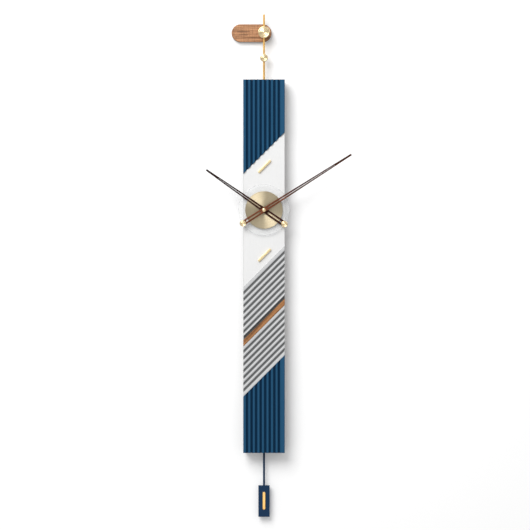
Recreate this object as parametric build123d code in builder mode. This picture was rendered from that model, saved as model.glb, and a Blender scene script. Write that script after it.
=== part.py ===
"""Pendulum wall clock: a long fluted board that hangs on a brass rod from a small wall plate.

Units are millimetres. +X is to the viewer's right, +Z is up and the clock faces -Y.
The wall is the plane y = 0, and the origin lies on it, behind the middle of the big brass cap.
Depths are distances from the wall, so a depth d is the plane y = -d.
"""

import os
from math import atan, cos, hypot, pi, radians, sin, sqrt, tan

from build123d import *

# Wall plate and hanger
PLATE_LEFT = -63.4
PLATE_RIGHT = 14.8
PLATE_Z = -0.4
PLATE_HEIGHT = 34.6
PLATE_DEPTH = 9.0
PLATE_ROUNDING = 1.2
STRIP_X = -31.0
STRIP_RISE = 3.0
STRIP_LENGTH = 50.0
STRIP_HEIGHT = 15.0
STRIP_THICKNESS = 1.2
KEYHOLE_SPACING = 30.0
KEYHOLE_RADIUS = 4.25
KEYHOLE_SLOT_RADIUS = 2.2
KEYHOLE_RISE = 6.5
KEYHOLE_Z = -5.5
POST_DIAMETER = 10.0
ROD_DIAMETER = 4.0
ROD_TOP = 35.8
CAP_DIAMETER = 22.8
CAP_BACK = 24.0
CAP_THICKNESS = 6.0

# Sway joint under the plate
PIVOT_Z = -49.7
EYE_DIAMETER = 9.0
EYE_GAP = 0.3
PIVOT_PIN_DIAMETER = 3.0
SMALL_CAP_DIAMETER = 15.3
SMALL_CAP_BACK = 20.0
SMALL_CAP_THICKNESS = 4.5

# Clock body
BODY_WIDTH = 81.0
BODY_TOP = -92.5
BODY_BOTTOM = -821.0
BACKBONE_WIDTH = 77.0
BACKBONE_BACK = 4.0
BACKBONE_FRONT = 24.0
FRONT_DEPTH = 32.0
WHITE_DEPTH = 29.0
WALNUT_DEPTH = 28.5
GAP_FLOOR = 26.0
EDGE_BREAK = 0.6
FIT_GAP = 0.05

# Slanted joints between the front boards, as x - z along a line that rises at 45 degrees
BLUE_TO_WHITE = 235.6
WHITE_TO_GREY = 458.3
GREY_END = 553.0
STRIP_START = 560.5
STRIP_END = 573.3
GREY_TO_BLUE = 670.8

# Flutes
FLUTE_DEPTH = 3.0
BLUE_PITCH = 8.88
BLUE_FLUTES = 8
RIDGE_SHARE = 0.6
FIRST_BLUE_VALLEY = -32.75
GREY_PITCH = 8.895
UPPER_GREY_VALLEY = 332.3
LOWER_GREY_VALLEY = 413.1
UPPER_GREY_FLUTES = 7
LOWER_GREY_FLUTES = 7
CUTTER_RUNOUT = 2.0

# Dial and hands
DIAL_Z = -347.2
DISC_DIAMETER = 73.0
ACRYLIC_DIAMETER = 100.0
MARKER_LENGTH = 34.0
MARKER_WIDTH = 4.5
MARKER_X = 1.0
UPPER_MARKER_Z = -262.1
LOWER_MARKER_Z = -435.0
MINUTE_ANGLE = 57.6
HOUR_ANGLE = 304.8
MINUTE_LENGTH = 201.5
HOUR_LENGTH = 137.0
TAIL_REACH = 48.6
HAND_THICKNESS = 2.0
HOUR_HAND_DEPTH = 37.0
MINUTE_HAND_DEPTH = 40.2

# Quartz movement
CASE_SIZE = 56.0
CASE_WALL = 1.4
CASE_FRONT = 20.4
CASE_BACK = 5.0
POCKET_SIZE = 58.0
STEM_DIAMETER = 8.0
PIPE_DIAMETER = 5.0
ARBOR_DIAMETER = 3.2
RUNNING_GAP = 0.1
GEAR_CENTRES = 12.0
MOTION_ANGLE = 150.0
BATTERY_DIAMETER = 14.2
BATTERY_LENGTH = 50.5

# Pendulum and its drive unit
UNIT_Z = -772.0
SWING_Z = -766.0
SWING_DEPTH = 9.5
BOB_WIDTH = 22.0
BOB_TOP = -885.7
BOB_BOTTOM = -947.1
BOB_THICKNESS = 6.0
BAR_WIDTH = 5.0
BAR_TOP = -898.4
BAR_BOTTOM = -932.9

ROD_DEPTH = (BACKBONE_BACK + BACKBONE_FRONT) / 2


def depth_plane(depth):
    """The plane at a distance from the wall, with X to the right, Z up, and its normal off the wall."""
    return Plane.XZ.offset(depth)


def finish(piece, name):
    """Label a finished piece and write it under its own name."""
    piece.part.label = name
    export_step(piece.part, f"parts/{name}.step")


os.makedirs("parts", exist_ok=True)

# --- Wall plate: a walnut capsule with a keyhole strip let into its back --------------------

plate_width = PLATE_RIGHT - PLATE_LEFT
plate_x = (PLATE_LEFT + PLATE_RIGHT) / 2
STUD_DIAMETER = 4.0
STUD_COVER = 1.5
STUD_PAST_PLATE = 3.0
HANG_POCKET_LENGTH = 17.5
HANG_POCKET_WIDTH = 10.0
HANG_POCKET_DEPTH = 6.0
STRIP_CORNER = 2.0
STRIP_SCREW_SPACING = 22.0
STRIP_SCREW_Z = KEYHOLE_Z + 1.5
SCREW_HEAD_RADIUS = 2.0
SCREW_SHANK_RADIUS = 1.05
SCREW_LENGTH = 7.5
SCREW_POINT = 1.4
SCREW_SINK = 0.1
PILOT_RADIUS = 1.1
PILOT_DEPTH = 8.0
CLEARANCE_RADIUS = 1.3
COUNTERSINK = 0.8
strip_middle = (STRIP_X, KEYHOLE_Z + STRIP_RISE)
keyhole_xs = (STRIP_X - KEYHOLE_SPACING / 2, STRIP_X + KEYHOLE_SPACING / 2)
strip_screw_xs = (STRIP_X - STRIP_SCREW_SPACING, STRIP_X, STRIP_X + STRIP_SCREW_SPACING)
strip_screw_places = [(x, STRIP_SCREW_Z) for x in strip_screw_xs]

with BuildPart() as wall_plate:
    with BuildSketch(depth_plane(0)):
        with Locations((plate_x, PLATE_Z)):
            SlotOverall(plate_width, PLATE_HEIGHT)
    extrude(amount=PLATE_DEPTH)
    fillet(wall_plate.faces().sort_by(Axis.Y)[0].edges(), PLATE_ROUNDING)
    with BuildSketch(depth_plane(0)):
        with Locations(strip_middle):
            RectangleRounded(STRIP_LENGTH + 2 * FIT_GAP, STRIP_HEIGHT + 2 * FIT_GAP, STRIP_CORNER)
    extrude(amount=STRIP_THICKNESS + FIT_GAP, mode=Mode.SUBTRACT)
    with BuildSketch(depth_plane(0)):
        with Locations(*[(x, KEYHOLE_Z + STRIP_RISE) for x in keyhole_xs]):
            SlotOverall(HANG_POCKET_LENGTH, HANG_POCKET_WIDTH, rotation=90)
    extrude(amount=HANG_POCKET_DEPTH, mode=Mode.SUBTRACT)
    with BuildSketch(depth_plane(0)):
        with Locations(*strip_screw_places):
            Circle(PILOT_RADIUS)
    extrude(amount=PILOT_DEPTH, mode=Mode.SUBTRACT)
    with BuildSketch(depth_plane(STUD_COVER)):
        Circle(STUD_DIAMETER / 2)
    extrude(amount=PLATE_DEPTH, mode=Mode.SUBTRACT)
finish(wall_plate, "wall_plate")

with BuildPart() as keyhole_strip:
    with BuildSketch(depth_plane(0)):
        with Locations(strip_middle):
            RectangleRounded(STRIP_LENGTH, STRIP_HEIGHT, STRIP_CORNER)
        with Locations(*[(x, KEYHOLE_Z) for x in keyhole_xs]):
            Circle(KEYHOLE_RADIUS, mode=Mode.SUBTRACT)
        with Locations(*[(x, KEYHOLE_Z + KEYHOLE_RISE / 2) for x in keyhole_xs]):
            slot_length = KEYHOLE_RISE + 2 * KEYHOLE_SLOT_RADIUS
            SlotOverall(slot_length, 2 * KEYHOLE_SLOT_RADIUS, rotation=90, mode=Mode.SUBTRACT)
        with Locations(*strip_screw_places):
            Circle(CLEARANCE_RADIUS, mode=Mode.SUBTRACT)
    extrude(amount=STRIP_THICKNESS)
    screw_rims = keyhole_strip.edges().filter_by(lambda e: e.geom_type == GeomType.CIRCLE
                                                 and abs(e.radius - CLEARANCE_RADIUS) < 0.01)
    chamfer(screw_rims.group_by(Axis.Y)[-1], COUNTERSINK)
finish(keyhole_strip, "keyhole_strip")

with BuildPart() as strip_screws:
    for x in strip_screw_xs:
        head_base = -SCREW_SINK - (SCREW_HEAD_RADIUS - SCREW_SHANK_RADIUS)
        point_base = -SCREW_SINK - SCREW_LENGTH + SCREW_POINT
        with BuildSketch(Plane.XY.offset(STRIP_SCREW_Z)):
            with BuildLine():
                Polyline(
                    (x, -SCREW_SINK), (x + SCREW_HEAD_RADIUS, -SCREW_SINK),
                    (x + SCREW_SHANK_RADIUS, head_base), (x + SCREW_SHANK_RADIUS, point_base),
                    (x, -SCREW_SINK - SCREW_LENGTH), close=True,
                )
            make_face()
        revolve(axis=Axis((x, 0, STRIP_SCREW_Z), (0, 1, 0)))
finish(strip_screws, "strip_screws")

# --- Hanger post: turned brass, on a stud in the plate, with a cross hole for the rod --------

with BuildPart() as post_stud:
    with BuildSketch(depth_plane(STUD_COVER)):
        Circle(STUD_DIAMETER / 2)
    extrude(amount=PLATE_DEPTH + STUD_PAST_PLATE - STUD_COVER)
finish(post_stud, "post_stud")

POST_FLANGE_DIAMETER = 14.0
POST_FLANGE_THICKNESS = 1.2
CAP_STUD_DIAMETER = 5.0
CAP_STUD_LENGTH = 6.0
CAP_STUD_GAP = 0.2
RIM_SHARE = 0.32
DISH_SHARE = 0.6
NIPPLE_SHARE = 0.12

with BuildPart() as hanger_post:
    with BuildSketch(Plane.XY):
        with BuildLine():
            Polyline(
                (0, -PLATE_DEPTH), (POST_FLANGE_DIAMETER / 2, -PLATE_DEPTH),
                (POST_FLANGE_DIAMETER / 2, -PLATE_DEPTH - POST_FLANGE_THICKNESS),
                (POST_DIAMETER / 2, -PLATE_DEPTH - POST_FLANGE_THICKNESS),
                (POST_DIAMETER / 2, -CAP_BACK), (0, -CAP_BACK), close=True,
            )
        make_face()
    revolve(axis=Axis.Y)
    chamfer(hanger_post.edges().group_by(Axis.Y)[0], 0.4)
    with BuildSketch(depth_plane(PLATE_DEPTH)):
        Circle(STUD_DIAMETER / 2)
    extrude(amount=STUD_PAST_PLATE, mode=Mode.SUBTRACT)
    with BuildSketch(depth_plane(CAP_BACK - CAP_STUD_LENGTH)):
        Circle(CAP_STUD_DIAMETER / 2)
    extrude(amount=CAP_STUD_LENGTH, mode=Mode.SUBTRACT)
    with BuildSketch(Plane.XY.offset(-POST_DIAMETER)):
        with Locations((0, -ROD_DEPTH)):
            Circle(ROD_DIAMETER / 2)
    extrude(amount=2 * POST_DIAMETER, mode=Mode.SUBTRACT)
finish(hanger_post, "hanger_post")


def spun_cap(centre_z, diameter, back, thickness, stud_diameter, stud_length):
    """A brass cap turned on the Y axis: a stud, a flat back, a rolled rim and a shallow dished face."""
    radius = diameter / 2
    rim = thickness * RIM_SHARE
    front = back + thickness
    dish = front - rim * DISH_SHARE
    half_arc = rim * (1 - cos(radians(45)))
    with BuildPart() as cap:
        with BuildSketch(Plane.XY.offset(centre_z)):
            with BuildLine():
                Polyline(
                    (0, stud_length - back), (stud_diameter / 2, stud_length - back),
                    (stud_diameter / 2, -back), (radius - rim, -back),
                )
                ThreePointArc(
                    (radius - rim, -back), (radius - half_arc, -back - half_arc), (radius, -back - rim),
                )
                Line((radius, -back - rim), (radius, rim - front))
                ThreePointArc(
                    (radius, rim - front), (radius - half_arc, half_arc - front), (radius - rim, -front),
                )
                Polyline(
                    (radius - rim, -front), (radius * NIPPLE_SHARE, -dish), (0, -dish), (0, stud_length - back),
                )
            make_face()
        revolve(axis=Axis((0, 0, centre_z), (0, 1, 0)))
    return cap


post_cap = spun_cap(
    0, CAP_DIAMETER, CAP_BACK, CAP_THICKNESS, CAP_STUD_DIAMETER, CAP_STUD_LENGTH - CAP_STUD_GAP,
)
finish(post_cap, "post_cap")

# --- Rods and sway joint: two flattened eyes side by side on one pin -------------------------

rod_radius = ROD_DIAMETER / 2
eye_radius = EYE_DIAMETER / 2
pin_radius = PIVOT_PIN_DIAMETER / 2
EYE_NECK = 0.6
EYE_NECK_WIDTH = ROD_DIAMETER * 0.9
upper_rod_end = PIVOT_Z + eye_radius + EYE_NECK
lower_rod_start = PIVOT_Z - eye_radius - EYE_NECK
ROD_IN_BODY = 30.0
eye_thickness = rod_radius - EYE_GAP / 2


def rod_with_eye(top, bottom, eye_depth, rod_end, hole_radius):
    """A round rod whose pivot end is flattened, on one half of its thickness, into a drilled eye."""
    with BuildPart() as rod:
        with BuildSketch(Plane.XY.offset(bottom)):
            with Locations((0, -ROD_DEPTH)):
                Circle(rod_radius)
        extrude(amount=top - bottom)
        with BuildSketch(depth_plane(eye_depth)):
            with Locations((0, PIVOT_Z)):
                Circle(eye_radius)
            with Locations((0, (PIVOT_Z + rod_end) / 2)):
                Rectangle(EYE_NECK_WIDTH, abs(rod_end - PIVOT_Z) + 1)
            with Locations((0, PIVOT_Z)):
                Circle(hole_radius, mode=Mode.SUBTRACT)
        extrude(amount=eye_thickness)
    return rod


upper_rod = rod_with_eye(ROD_TOP, upper_rod_end, ROD_DEPTH - rod_radius, upper_rod_end, pin_radius)
with BuildPart() as upper_rod_finished:
    add(upper_rod.part)
    chamfer(upper_rod_finished.edges().group_by(Axis.Z)[-1], 0.5)
finish(upper_rod_finished, "upper_rod")

lower_rod = rod_with_eye(
    lower_rod_start, BODY_TOP - ROD_IN_BODY, ROD_DEPTH + EYE_GAP / 2, lower_rod_start,
    pin_radius + RUNNING_GAP / 2,
)
finish(lower_rod, "lower_rod")

PIN_HEAD_DIAMETER = 6.0
PIN_HEAD_THICKNESS = 1.2
SMALL_CAP_STUD_DIAMETER = 5.0
SMALL_CAP_STUD_LENGTH = 2.5

with BuildPart() as pivot_pin:
    pin_back = ROD_DEPTH - rod_radius
    with BuildSketch(depth_plane(pin_back - PIN_HEAD_THICKNESS)):
        with Locations((0, PIVOT_Z)):
            Circle(PIN_HEAD_DIAMETER / 2)
    extrude(amount=PIN_HEAD_THICKNESS)
    with BuildSketch(depth_plane(pin_back)):
        with Locations((0, PIVOT_Z)):
            Circle(pin_radius)
    extrude(amount=SMALL_CAP_BACK - pin_back)
    chamfer(pivot_pin.edges().group_by(Axis.Y)[-1], 0.3)
finish(pivot_pin, "pivot_pin")

pivot_cap = spun_cap(
    PIVOT_Z, SMALL_CAP_DIAMETER, SMALL_CAP_BACK, SMALL_CAP_THICKNESS,
    SMALL_CAP_STUD_DIAMETER, SMALL_CAP_STUD_LENGTH,
)
with BuildPart() as pivot_cap_finished:
    add(pivot_cap.part)
    with BuildSketch(depth_plane(SMALL_CAP_BACK - SMALL_CAP_STUD_LENGTH)):
        with Locations((0, PIVOT_Z)):
            Circle(pin_radius)
    extrude(amount=SMALL_CAP_STUD_LENGTH, mode=Mode.SUBTRACT)
finish(pivot_cap_finished, "pivot_cap")

# --- Backbone: a long board with one pocket for the movement and one for the pendulum unit ---

INSERT_DIAMETER = 9.0
body_height = BODY_TOP - BODY_BOTTOM
body_middle = (BODY_TOP + BODY_BOTTOM) / 2
STEM_HOLE_DIAMETER = STEM_DIAMETER + 0.4
CHANNEL_WIDTH = 30.0
POCKET_RADIUS = 3.0
BACKBONE_INSET = 2.0
UNIT_SCREW_X = 20.0
UNIT_SCREW_Z = UNIT_Z - 18.0
UNIT_SCREW_HOLE_RADIUS = 1.25
unit_screw_places = [(-UNIT_SCREW_X, UNIT_SCREW_Z), (UNIT_SCREW_X, UNIT_SCREW_Z)]
unit_low = UNIT_Z - POCKET_SIZE / 2

with BuildPart() as rod_insert:
    with BuildSketch(Plane.XY.offset(BODY_TOP - ROD_IN_BODY)):
        with Locations((0, -ROD_DEPTH)):
            Circle(INSERT_DIAMETER / 2)
            Circle(rod_radius, mode=Mode.SUBTRACT)
    extrude(amount=ROD_IN_BODY)
finish(rod_insert, "rod_insert")

with BuildPart() as backbone_board:
    with BuildSketch(depth_plane(BACKBONE_BACK)):
        with Locations((0, body_middle)):
            Rectangle(BACKBONE_WIDTH, body_height - 2 * BACKBONE_INSET)
    extrude(amount=BACKBONE_FRONT - BACKBONE_BACK)
    chamfer(backbone_board.faces().sort_by(Axis.Y)[-1].edges(), 1.0)
    with BuildSketch(depth_plane(BACKBONE_BACK)):
        with Locations((0, DIAL_Z), (0, UNIT_Z)):
            RectangleRounded(POCKET_SIZE, POCKET_SIZE, POCKET_RADIUS)
        with Locations((0, (unit_low + BODY_BOTTOM) / 2)):
            Rectangle(CHANNEL_WIDTH, unit_low - BODY_BOTTOM + 1)
    extrude(amount=CASE_FRONT - BACKBONE_BACK, mode=Mode.SUBTRACT)
    with BuildSketch(depth_plane(CASE_FRONT)):
        with Locations((0, DIAL_Z)):
            Circle(STEM_HOLE_DIAMETER / 2)
        with Locations(*unit_screw_places):
            Circle(UNIT_SCREW_HOLE_RADIUS)
    extrude(amount=BACKBONE_FRONT - CASE_FRONT, mode=Mode.SUBTRACT)
    with BuildSketch(Plane.XY.offset(BODY_TOP - ROD_IN_BODY)):
        with Locations((0, -ROD_DEPTH)):
            Circle(INSERT_DIAMETER / 2)
    extrude(amount=ROD_IN_BODY, mode=Mode.SUBTRACT)
finish(backbone_board, "backbone_board")

# --- Front boards: five slanted fields glued on the backbone, four of them fluted ------------

half_width = BODY_WIDTH / 2
left, right = -half_width, half_width


def slant(line_value, x):
    """Height at which a 45 degree joint line crosses a given x."""
    return x - line_value


def board_outline(top_line, bottom_line):
    """Corners of the field between two joint lines, or the body's ends where a line is None."""
    top_left = BODY_TOP if top_line is None else slant(top_line, left)
    top_right = BODY_TOP if top_line is None else slant(top_line, right)
    low_left = BODY_BOTTOM if bottom_line is None else slant(bottom_line, left)
    low_right = BODY_BOTTOM if bottom_line is None else slant(bottom_line, right)
    return [(left, low_left), (right, low_right), (right, top_right), (left, top_left)]


def flute_cutter(plane, first_valley, pitch, count, length):
    """What the moulding cutter takes off the front: the stock in front of a wave of tangent arcs.

    The plane's x runs across the flutes and its y runs towards the back of the board. Past the first
    and the last valley the wave ends on a ridge, and the face stays flat.
    """
    slope = 2 * atan(2 * FLUTE_DEPTH / pitch)
    ridge_half_width = pitch * RIDGE_SHARE / 2
    valley_half_width = pitch * (1 - RIDGE_SHARE) / 2
    ridge_rise = ridge_half_width / sin(slope) * (1 - cos(slope))
    valley_fall = valley_half_width / sin(slope) * (1 - cos(slope))
    half_arc = ridge_half_width / sin(slope) * sin(slope / 2)
    half_rise = ridge_half_width / sin(slope) * (1 - cos(slope / 2))
    last_valley = first_valley + (count - 1) * pitch
    with BuildPart() as cutter:
        with BuildSketch(plane):
            with BuildLine():
                ThreePointArc(
                    (first_valley - pitch / 2, 0),
                    (first_valley - pitch / 2 + half_arc, half_rise),
                    (first_valley - valley_half_width, ridge_rise),
                )
                for k in range(count):
                    valley = first_valley + k * pitch
                    ThreePointArc(
                        (valley - valley_half_width, ridge_rise),
                        (valley, ridge_rise + valley_fall),
                        (valley + valley_half_width, ridge_rise),
                    )
                    if k < count - 1:
                        ThreePointArc(
                            (valley + valley_half_width, ridge_rise),
                            (valley + pitch / 2, 0),
                            (valley + pitch - valley_half_width, ridge_rise),
                        )
                ThreePointArc(
                    (last_valley + valley_half_width, ridge_rise),
                    (last_valley + pitch / 2 - half_arc, half_rise),
                    (last_valley + pitch / 2, 0),
                )
                Polyline(
                    (last_valley + pitch / 2, 0), (last_valley + pitch / 2, -CUTTER_RUNOUT),
                    (first_valley - pitch / 2, -CUTTER_RUNOUT), (first_valley - pitch / 2, 0),
                )
            make_face()
        extrude(amount=length, both=True)
    return cutter.part


upright_plane = Plane(origin=(0, -FRONT_DEPTH, body_middle), x_dir=(1, 0, 0), z_dir=(0, 0, 1))
across = 1 / sqrt(2)
slanted_plane = Plane(origin=(0, -FRONT_DEPTH, 0), x_dir=(across, 0, -across), z_dir=(across, 0, across))

upright_flutes = flute_cutter(upright_plane, FIRST_BLUE_VALLEY, BLUE_PITCH, BLUE_FLUTES, body_height)
upper_grey_cut = flute_cutter(slanted_plane, UPPER_GREY_VALLEY, GREY_PITCH, UPPER_GREY_FLUTES, body_height)
lower_grey_cut = flute_cutter(slanted_plane, LOWER_GREY_VALLEY, GREY_PITCH, LOWER_GREY_FLUTES, body_height)


def front_board(top_line, bottom_line, front, flutes=None):
    """One field of the front: a slanted board, its face edges eased, then fluted by the cutter."""
    corners = board_outline(top_line, bottom_line)
    with BuildPart() as board:
        with BuildSketch(depth_plane(BACKBONE_FRONT)):
            with BuildLine():
                Polyline(*corners, close=True)
            make_face()
        extrude(amount=front - BACKBONE_FRONT)
        chamfer(board.faces().sort_by(Axis.Y)[0].edges(), EDGE_BREAK)
        if flutes is not None:
            add(flutes, mode=Mode.SUBTRACT)
    return board


top_blue_board = front_board(None, BLUE_TO_WHITE, FRONT_DEPTH, upright_flutes)
finish(top_blue_board, "top_blue_board")

white_blank = front_board(BLUE_TO_WHITE, WHITE_TO_GREY, WHITE_DEPTH)
with BuildPart() as white_board:
    add(white_blank.part)
    with BuildSketch(depth_plane(BACKBONE_FRONT)):
        with Locations((0, DIAL_Z)):
            Circle(STEM_HOLE_DIAMETER / 2)
    extrude(amount=WHITE_DEPTH - BACKBONE_FRONT, mode=Mode.SUBTRACT)
finish(white_board, "white_board")

upper_grey_blank = front_board(WHITE_TO_GREY, STRIP_START, FRONT_DEPTH, upper_grey_cut)
with BuildPart() as upper_grey_board:
    add(upper_grey_blank.part)
    with BuildSketch(depth_plane(GAP_FLOOR)):
        with BuildLine():
            Polyline(*board_outline(GREY_END, STRIP_START), close=True)
        make_face()
    extrude(amount=FRONT_DEPTH - GAP_FLOOR + CUTTER_RUNOUT, mode=Mode.SUBTRACT)
finish(upper_grey_board, "upper_grey_board")

walnut_strip = front_board(STRIP_START, STRIP_END, WALNUT_DEPTH)
finish(walnut_strip, "walnut_strip")

lower_grey_board = front_board(STRIP_END, GREY_TO_BLUE, FRONT_DEPTH, lower_grey_cut)
finish(lower_grey_board, "lower_grey_board")

UNIT_SCREW_TIP = 27.5
bottom_blank = front_board(GREY_TO_BLUE, None, FRONT_DEPTH, upright_flutes)
with BuildPart() as bottom_blue_board:
    add(bottom_blank.part)
    with BuildSketch(depth_plane(BACKBONE_FRONT)):
        with Locations(*unit_screw_places):
            Circle(UNIT_SCREW_HOLE_RADIUS)
    extrude(amount=UNIT_SCREW_TIP - BACKBONE_FRONT, mode=Mode.SUBTRACT)
finish(bottom_blue_board, "bottom_blue_board")

# Felt bumpers keep the hanging board parallel to the wall
BUMPER_DIAMETER = 12.0
BUMPER_THICKNESS = 3.0
BUMPER_X = 28.0
BUMPER_LOW = BODY_BOTTOM + 14.0
BUMPER_HIGH = UNIT_Z + 60.0
bumper_places = [(x, z) for z in (BUMPER_LOW, BUMPER_HIGH) for x in (-BUMPER_X, BUMPER_X)]

with BuildPart() as wall_bumpers:
    with BuildSketch(depth_plane(BACKBONE_BACK - BUMPER_THICKNESS)):
        with Locations(*bumper_places):
            Circle(BUMPER_DIAMETER / 2)
    extrude(amount=BUMPER_THICKNESS)
    chamfer(wall_bumpers.edges().group_by(Axis.Y)[-1], 0.5)
finish(wall_bumpers, "wall_bumpers")

# --- Hour markers and dial -------------------------------------------------------------------

MARKER_THICKNESS = 3.5
MARKER_ROUNDING = 0.8
SPACER_OUTER = 30.0
SPACER_INNER = 17.0
SPACER_THICKNESS = 3.0
ACRYLIC_THICKNESS = 2.0
DISC_THICKNESS = 1.2
DISC_HOLE_GAP = 0.8

with BuildPart() as hour_markers:
    with BuildSketch(depth_plane(WHITE_DEPTH)):
        with Locations((MARKER_X, UPPER_MARKER_Z), (MARKER_X, LOWER_MARKER_Z)):
            SlotOverall(MARKER_LENGTH, MARKER_WIDTH, rotation=45)
    extrude(amount=MARKER_THICKNESS)
    fillet(hour_markers.edges().group_by(Axis.Y)[0], MARKER_ROUNDING)
finish(hour_markers, "hour_markers")

with BuildPart() as dial_spacer:
    with BuildSketch(depth_plane(WHITE_DEPTH)):
        with Locations((0, DIAL_Z)):
            Circle(SPACER_OUTER / 2)
            Circle(SPACER_INNER / 2, mode=Mode.SUBTRACT)
    extrude(amount=SPACER_THICKNESS)
finish(dial_spacer, "dial_spacer")

acrylic_back = WHITE_DEPTH + SPACER_THICKNESS
with BuildPart() as acrylic_disc:
    with BuildSketch(depth_plane(acrylic_back)):
        with Locations((0, DIAL_Z)):
            Circle(ACRYLIC_DIAMETER / 2)
            Circle(STEM_DIAMETER / 2, mode=Mode.SUBTRACT)
    extrude(amount=ACRYLIC_THICKNESS)
    acrylic_rims = acrylic_disc.edges().filter_by(GeomType.CIRCLE).group_by(SortBy.LENGTH)[-1]
    chamfer(acrylic_rims, 0.3)
finish(acrylic_disc, "acrylic_disc")

disc_back = acrylic_back + ACRYLIC_THICKNESS
with BuildPart() as dial_disc:
    with BuildSketch(depth_plane(disc_back)):
        with Locations((0, DIAL_Z)):
            Circle(DISC_DIAMETER / 2)
            Circle(PIPE_DIAMETER / 2 + DISC_HOLE_GAP, mode=Mode.SUBTRACT)
    extrude(amount=DISC_THICKNESS)
    disc_rims = dial_disc.edges().filter_by(GeomType.CIRCLE).group_by(SortBy.LENGTH)[-1]
    chamfer(disc_rims.sort_by(Axis.Y)[0], DISC_THICKNESS / 2)
finish(dial_disc, "dial_disc")

# --- Quartz movement: case, cover, stem and what drives the hands ----------------------------


COVER_BACK = 6.0
COVER_THICKNESS = 1.4
COVER_CORNER = 1.6
CASE_CORNER = 2.5
DIVIDER_OFFSET = 11.7
DIVIDER_THICKNESS = 1.0
ARBOR_TAIL_DIAMETER = 1.6
case_inner = CASE_SIZE - 2 * CASE_WALL
floor_depth = CASE_FRONT - CASE_WALL


def unit_shell(centre_z, divider_side):
    """A moulded case, open at the back, with a divider between the cell and the works."""
    divider_z = centre_z + divider_side * DIVIDER_OFFSET
    with BuildPart() as shell:
        with BuildSketch(depth_plane(CASE_BACK)):
            with Locations((0, centre_z)):
                RectangleRounded(CASE_SIZE, CASE_SIZE, CASE_CORNER)
        extrude(amount=CASE_FRONT - CASE_BACK)
        with BuildSketch(depth_plane(CASE_BACK)):
            with Locations((0, centre_z)):
                RectangleRounded(case_inner, case_inner, CASE_CORNER - CASE_WALL)
        extrude(amount=floor_depth - CASE_BACK, mode=Mode.SUBTRACT)
        with BuildSketch(depth_plane(COVER_BACK + COVER_THICKNESS)):
            with Locations((0, divider_z)):
                Rectangle(case_inner, DIVIDER_THICKNESS)
        extrude(amount=floor_depth - COVER_BACK - COVER_THICKNESS)
    return shell


COVER_EDGE = 11.2
BEARING_DEPTH = 0.8
motion_x = GEAR_CENTRES * cos(radians(MOTION_ANGLE))
motion_z = DIAL_Z + GEAR_CENTRES * sin(radians(MOTION_ANGLE))

movement_shell = unit_shell(DIAL_Z, -1)
with BuildPart() as movement_case:
    add(movement_shell.part)
    with BuildSketch(depth_plane(floor_depth)):
        with Locations((0, DIAL_Z)):
            Circle(STEM_DIAMETER / 2)
    extrude(amount=CASE_WALL, mode=Mode.SUBTRACT)
    with BuildSketch(depth_plane(floor_depth)):
        with Locations((motion_x, motion_z)):
            Circle(ARBOR_TAIL_DIAMETER / 2 + RUNNING_GAP / 2)
    extrude(amount=BEARING_DEPTH + RUNNING_GAP, mode=Mode.SUBTRACT)
finish(movement_case, "movement_case")

with BuildPart() as movement_cover:
    cover_low = DIAL_Z - COVER_EDGE
    cover_high = DIAL_Z + case_inner / 2 - FIT_GAP
    with BuildSketch(depth_plane(COVER_BACK)):
        with Locations((0, (cover_low + cover_high) / 2)):
            RectangleRounded(case_inner - 2 * FIT_GAP, cover_high - cover_low, COVER_CORNER)
        with Locations((motion_x, motion_z), (0, DIAL_Z)):
            Circle(ARBOR_TAIL_DIAMETER / 2 + RUNNING_GAP / 2, mode=Mode.SUBTRACT)
    extrude(amount=COVER_THICKNESS)
    chamfer(movement_cover.faces().sort_by(Axis.Y)[-1].outer_wire().edges(), 0.4)
finish(movement_cover, "movement_cover")

WASHER_THICKNESS = 0.6
NUT_THICKNESS = 2.0
NUT_ACROSS_FLATS = 12.0
STEM_PAST_NUT = 0.2
WASHER_DIAMETER = 16.0
stem_front = WHITE_DEPTH + WASHER_THICKNESS + NUT_THICKNESS + STEM_PAST_NUT

with BuildPart() as threaded_stem:
    with BuildSketch(depth_plane(floor_depth)):
        with Locations((0, DIAL_Z)):
            Circle(STEM_DIAMETER / 2)
            Circle(PIPE_DIAMETER / 2 + RUNNING_GAP, mode=Mode.SUBTRACT)
    extrude(amount=stem_front - floor_depth)
    chamfer(threaded_stem.edges().group_by(Axis.Y)[0].sort_by(SortBy.LENGTH)[-1], 0.4)
finish(threaded_stem, "threaded_stem")

with BuildPart() as stem_washer:
    with BuildSketch(depth_plane(WHITE_DEPTH)):
        with Locations((0, DIAL_Z)):
            Circle(WASHER_DIAMETER / 2)
            Circle(STEM_DIAMETER / 2 + FIT_GAP, mode=Mode.SUBTRACT)
    extrude(amount=WASHER_THICKNESS)
finish(stem_washer, "stem_washer")

with BuildPart() as stem_nut:
    with BuildSketch(depth_plane(WHITE_DEPTH + WASHER_THICKNESS)):
        with Locations((0, DIAL_Z)):
            RegularPolygon(radius=NUT_ACROSS_FLATS / 2, side_count=6, major_radius=False)
            Circle(STEM_DIAMETER / 2, mode=Mode.SUBTRACT)
    extrude(amount=NUT_THICKNESS)
finish(stem_nut, "stem_nut")


PRESSURE_ANGLE = radians(20)
TOOTH_RISE = 0.78
TOOTH_FALL = 1.0
BACKLASH = 0.045
FLANK_STEPS = 3


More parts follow.
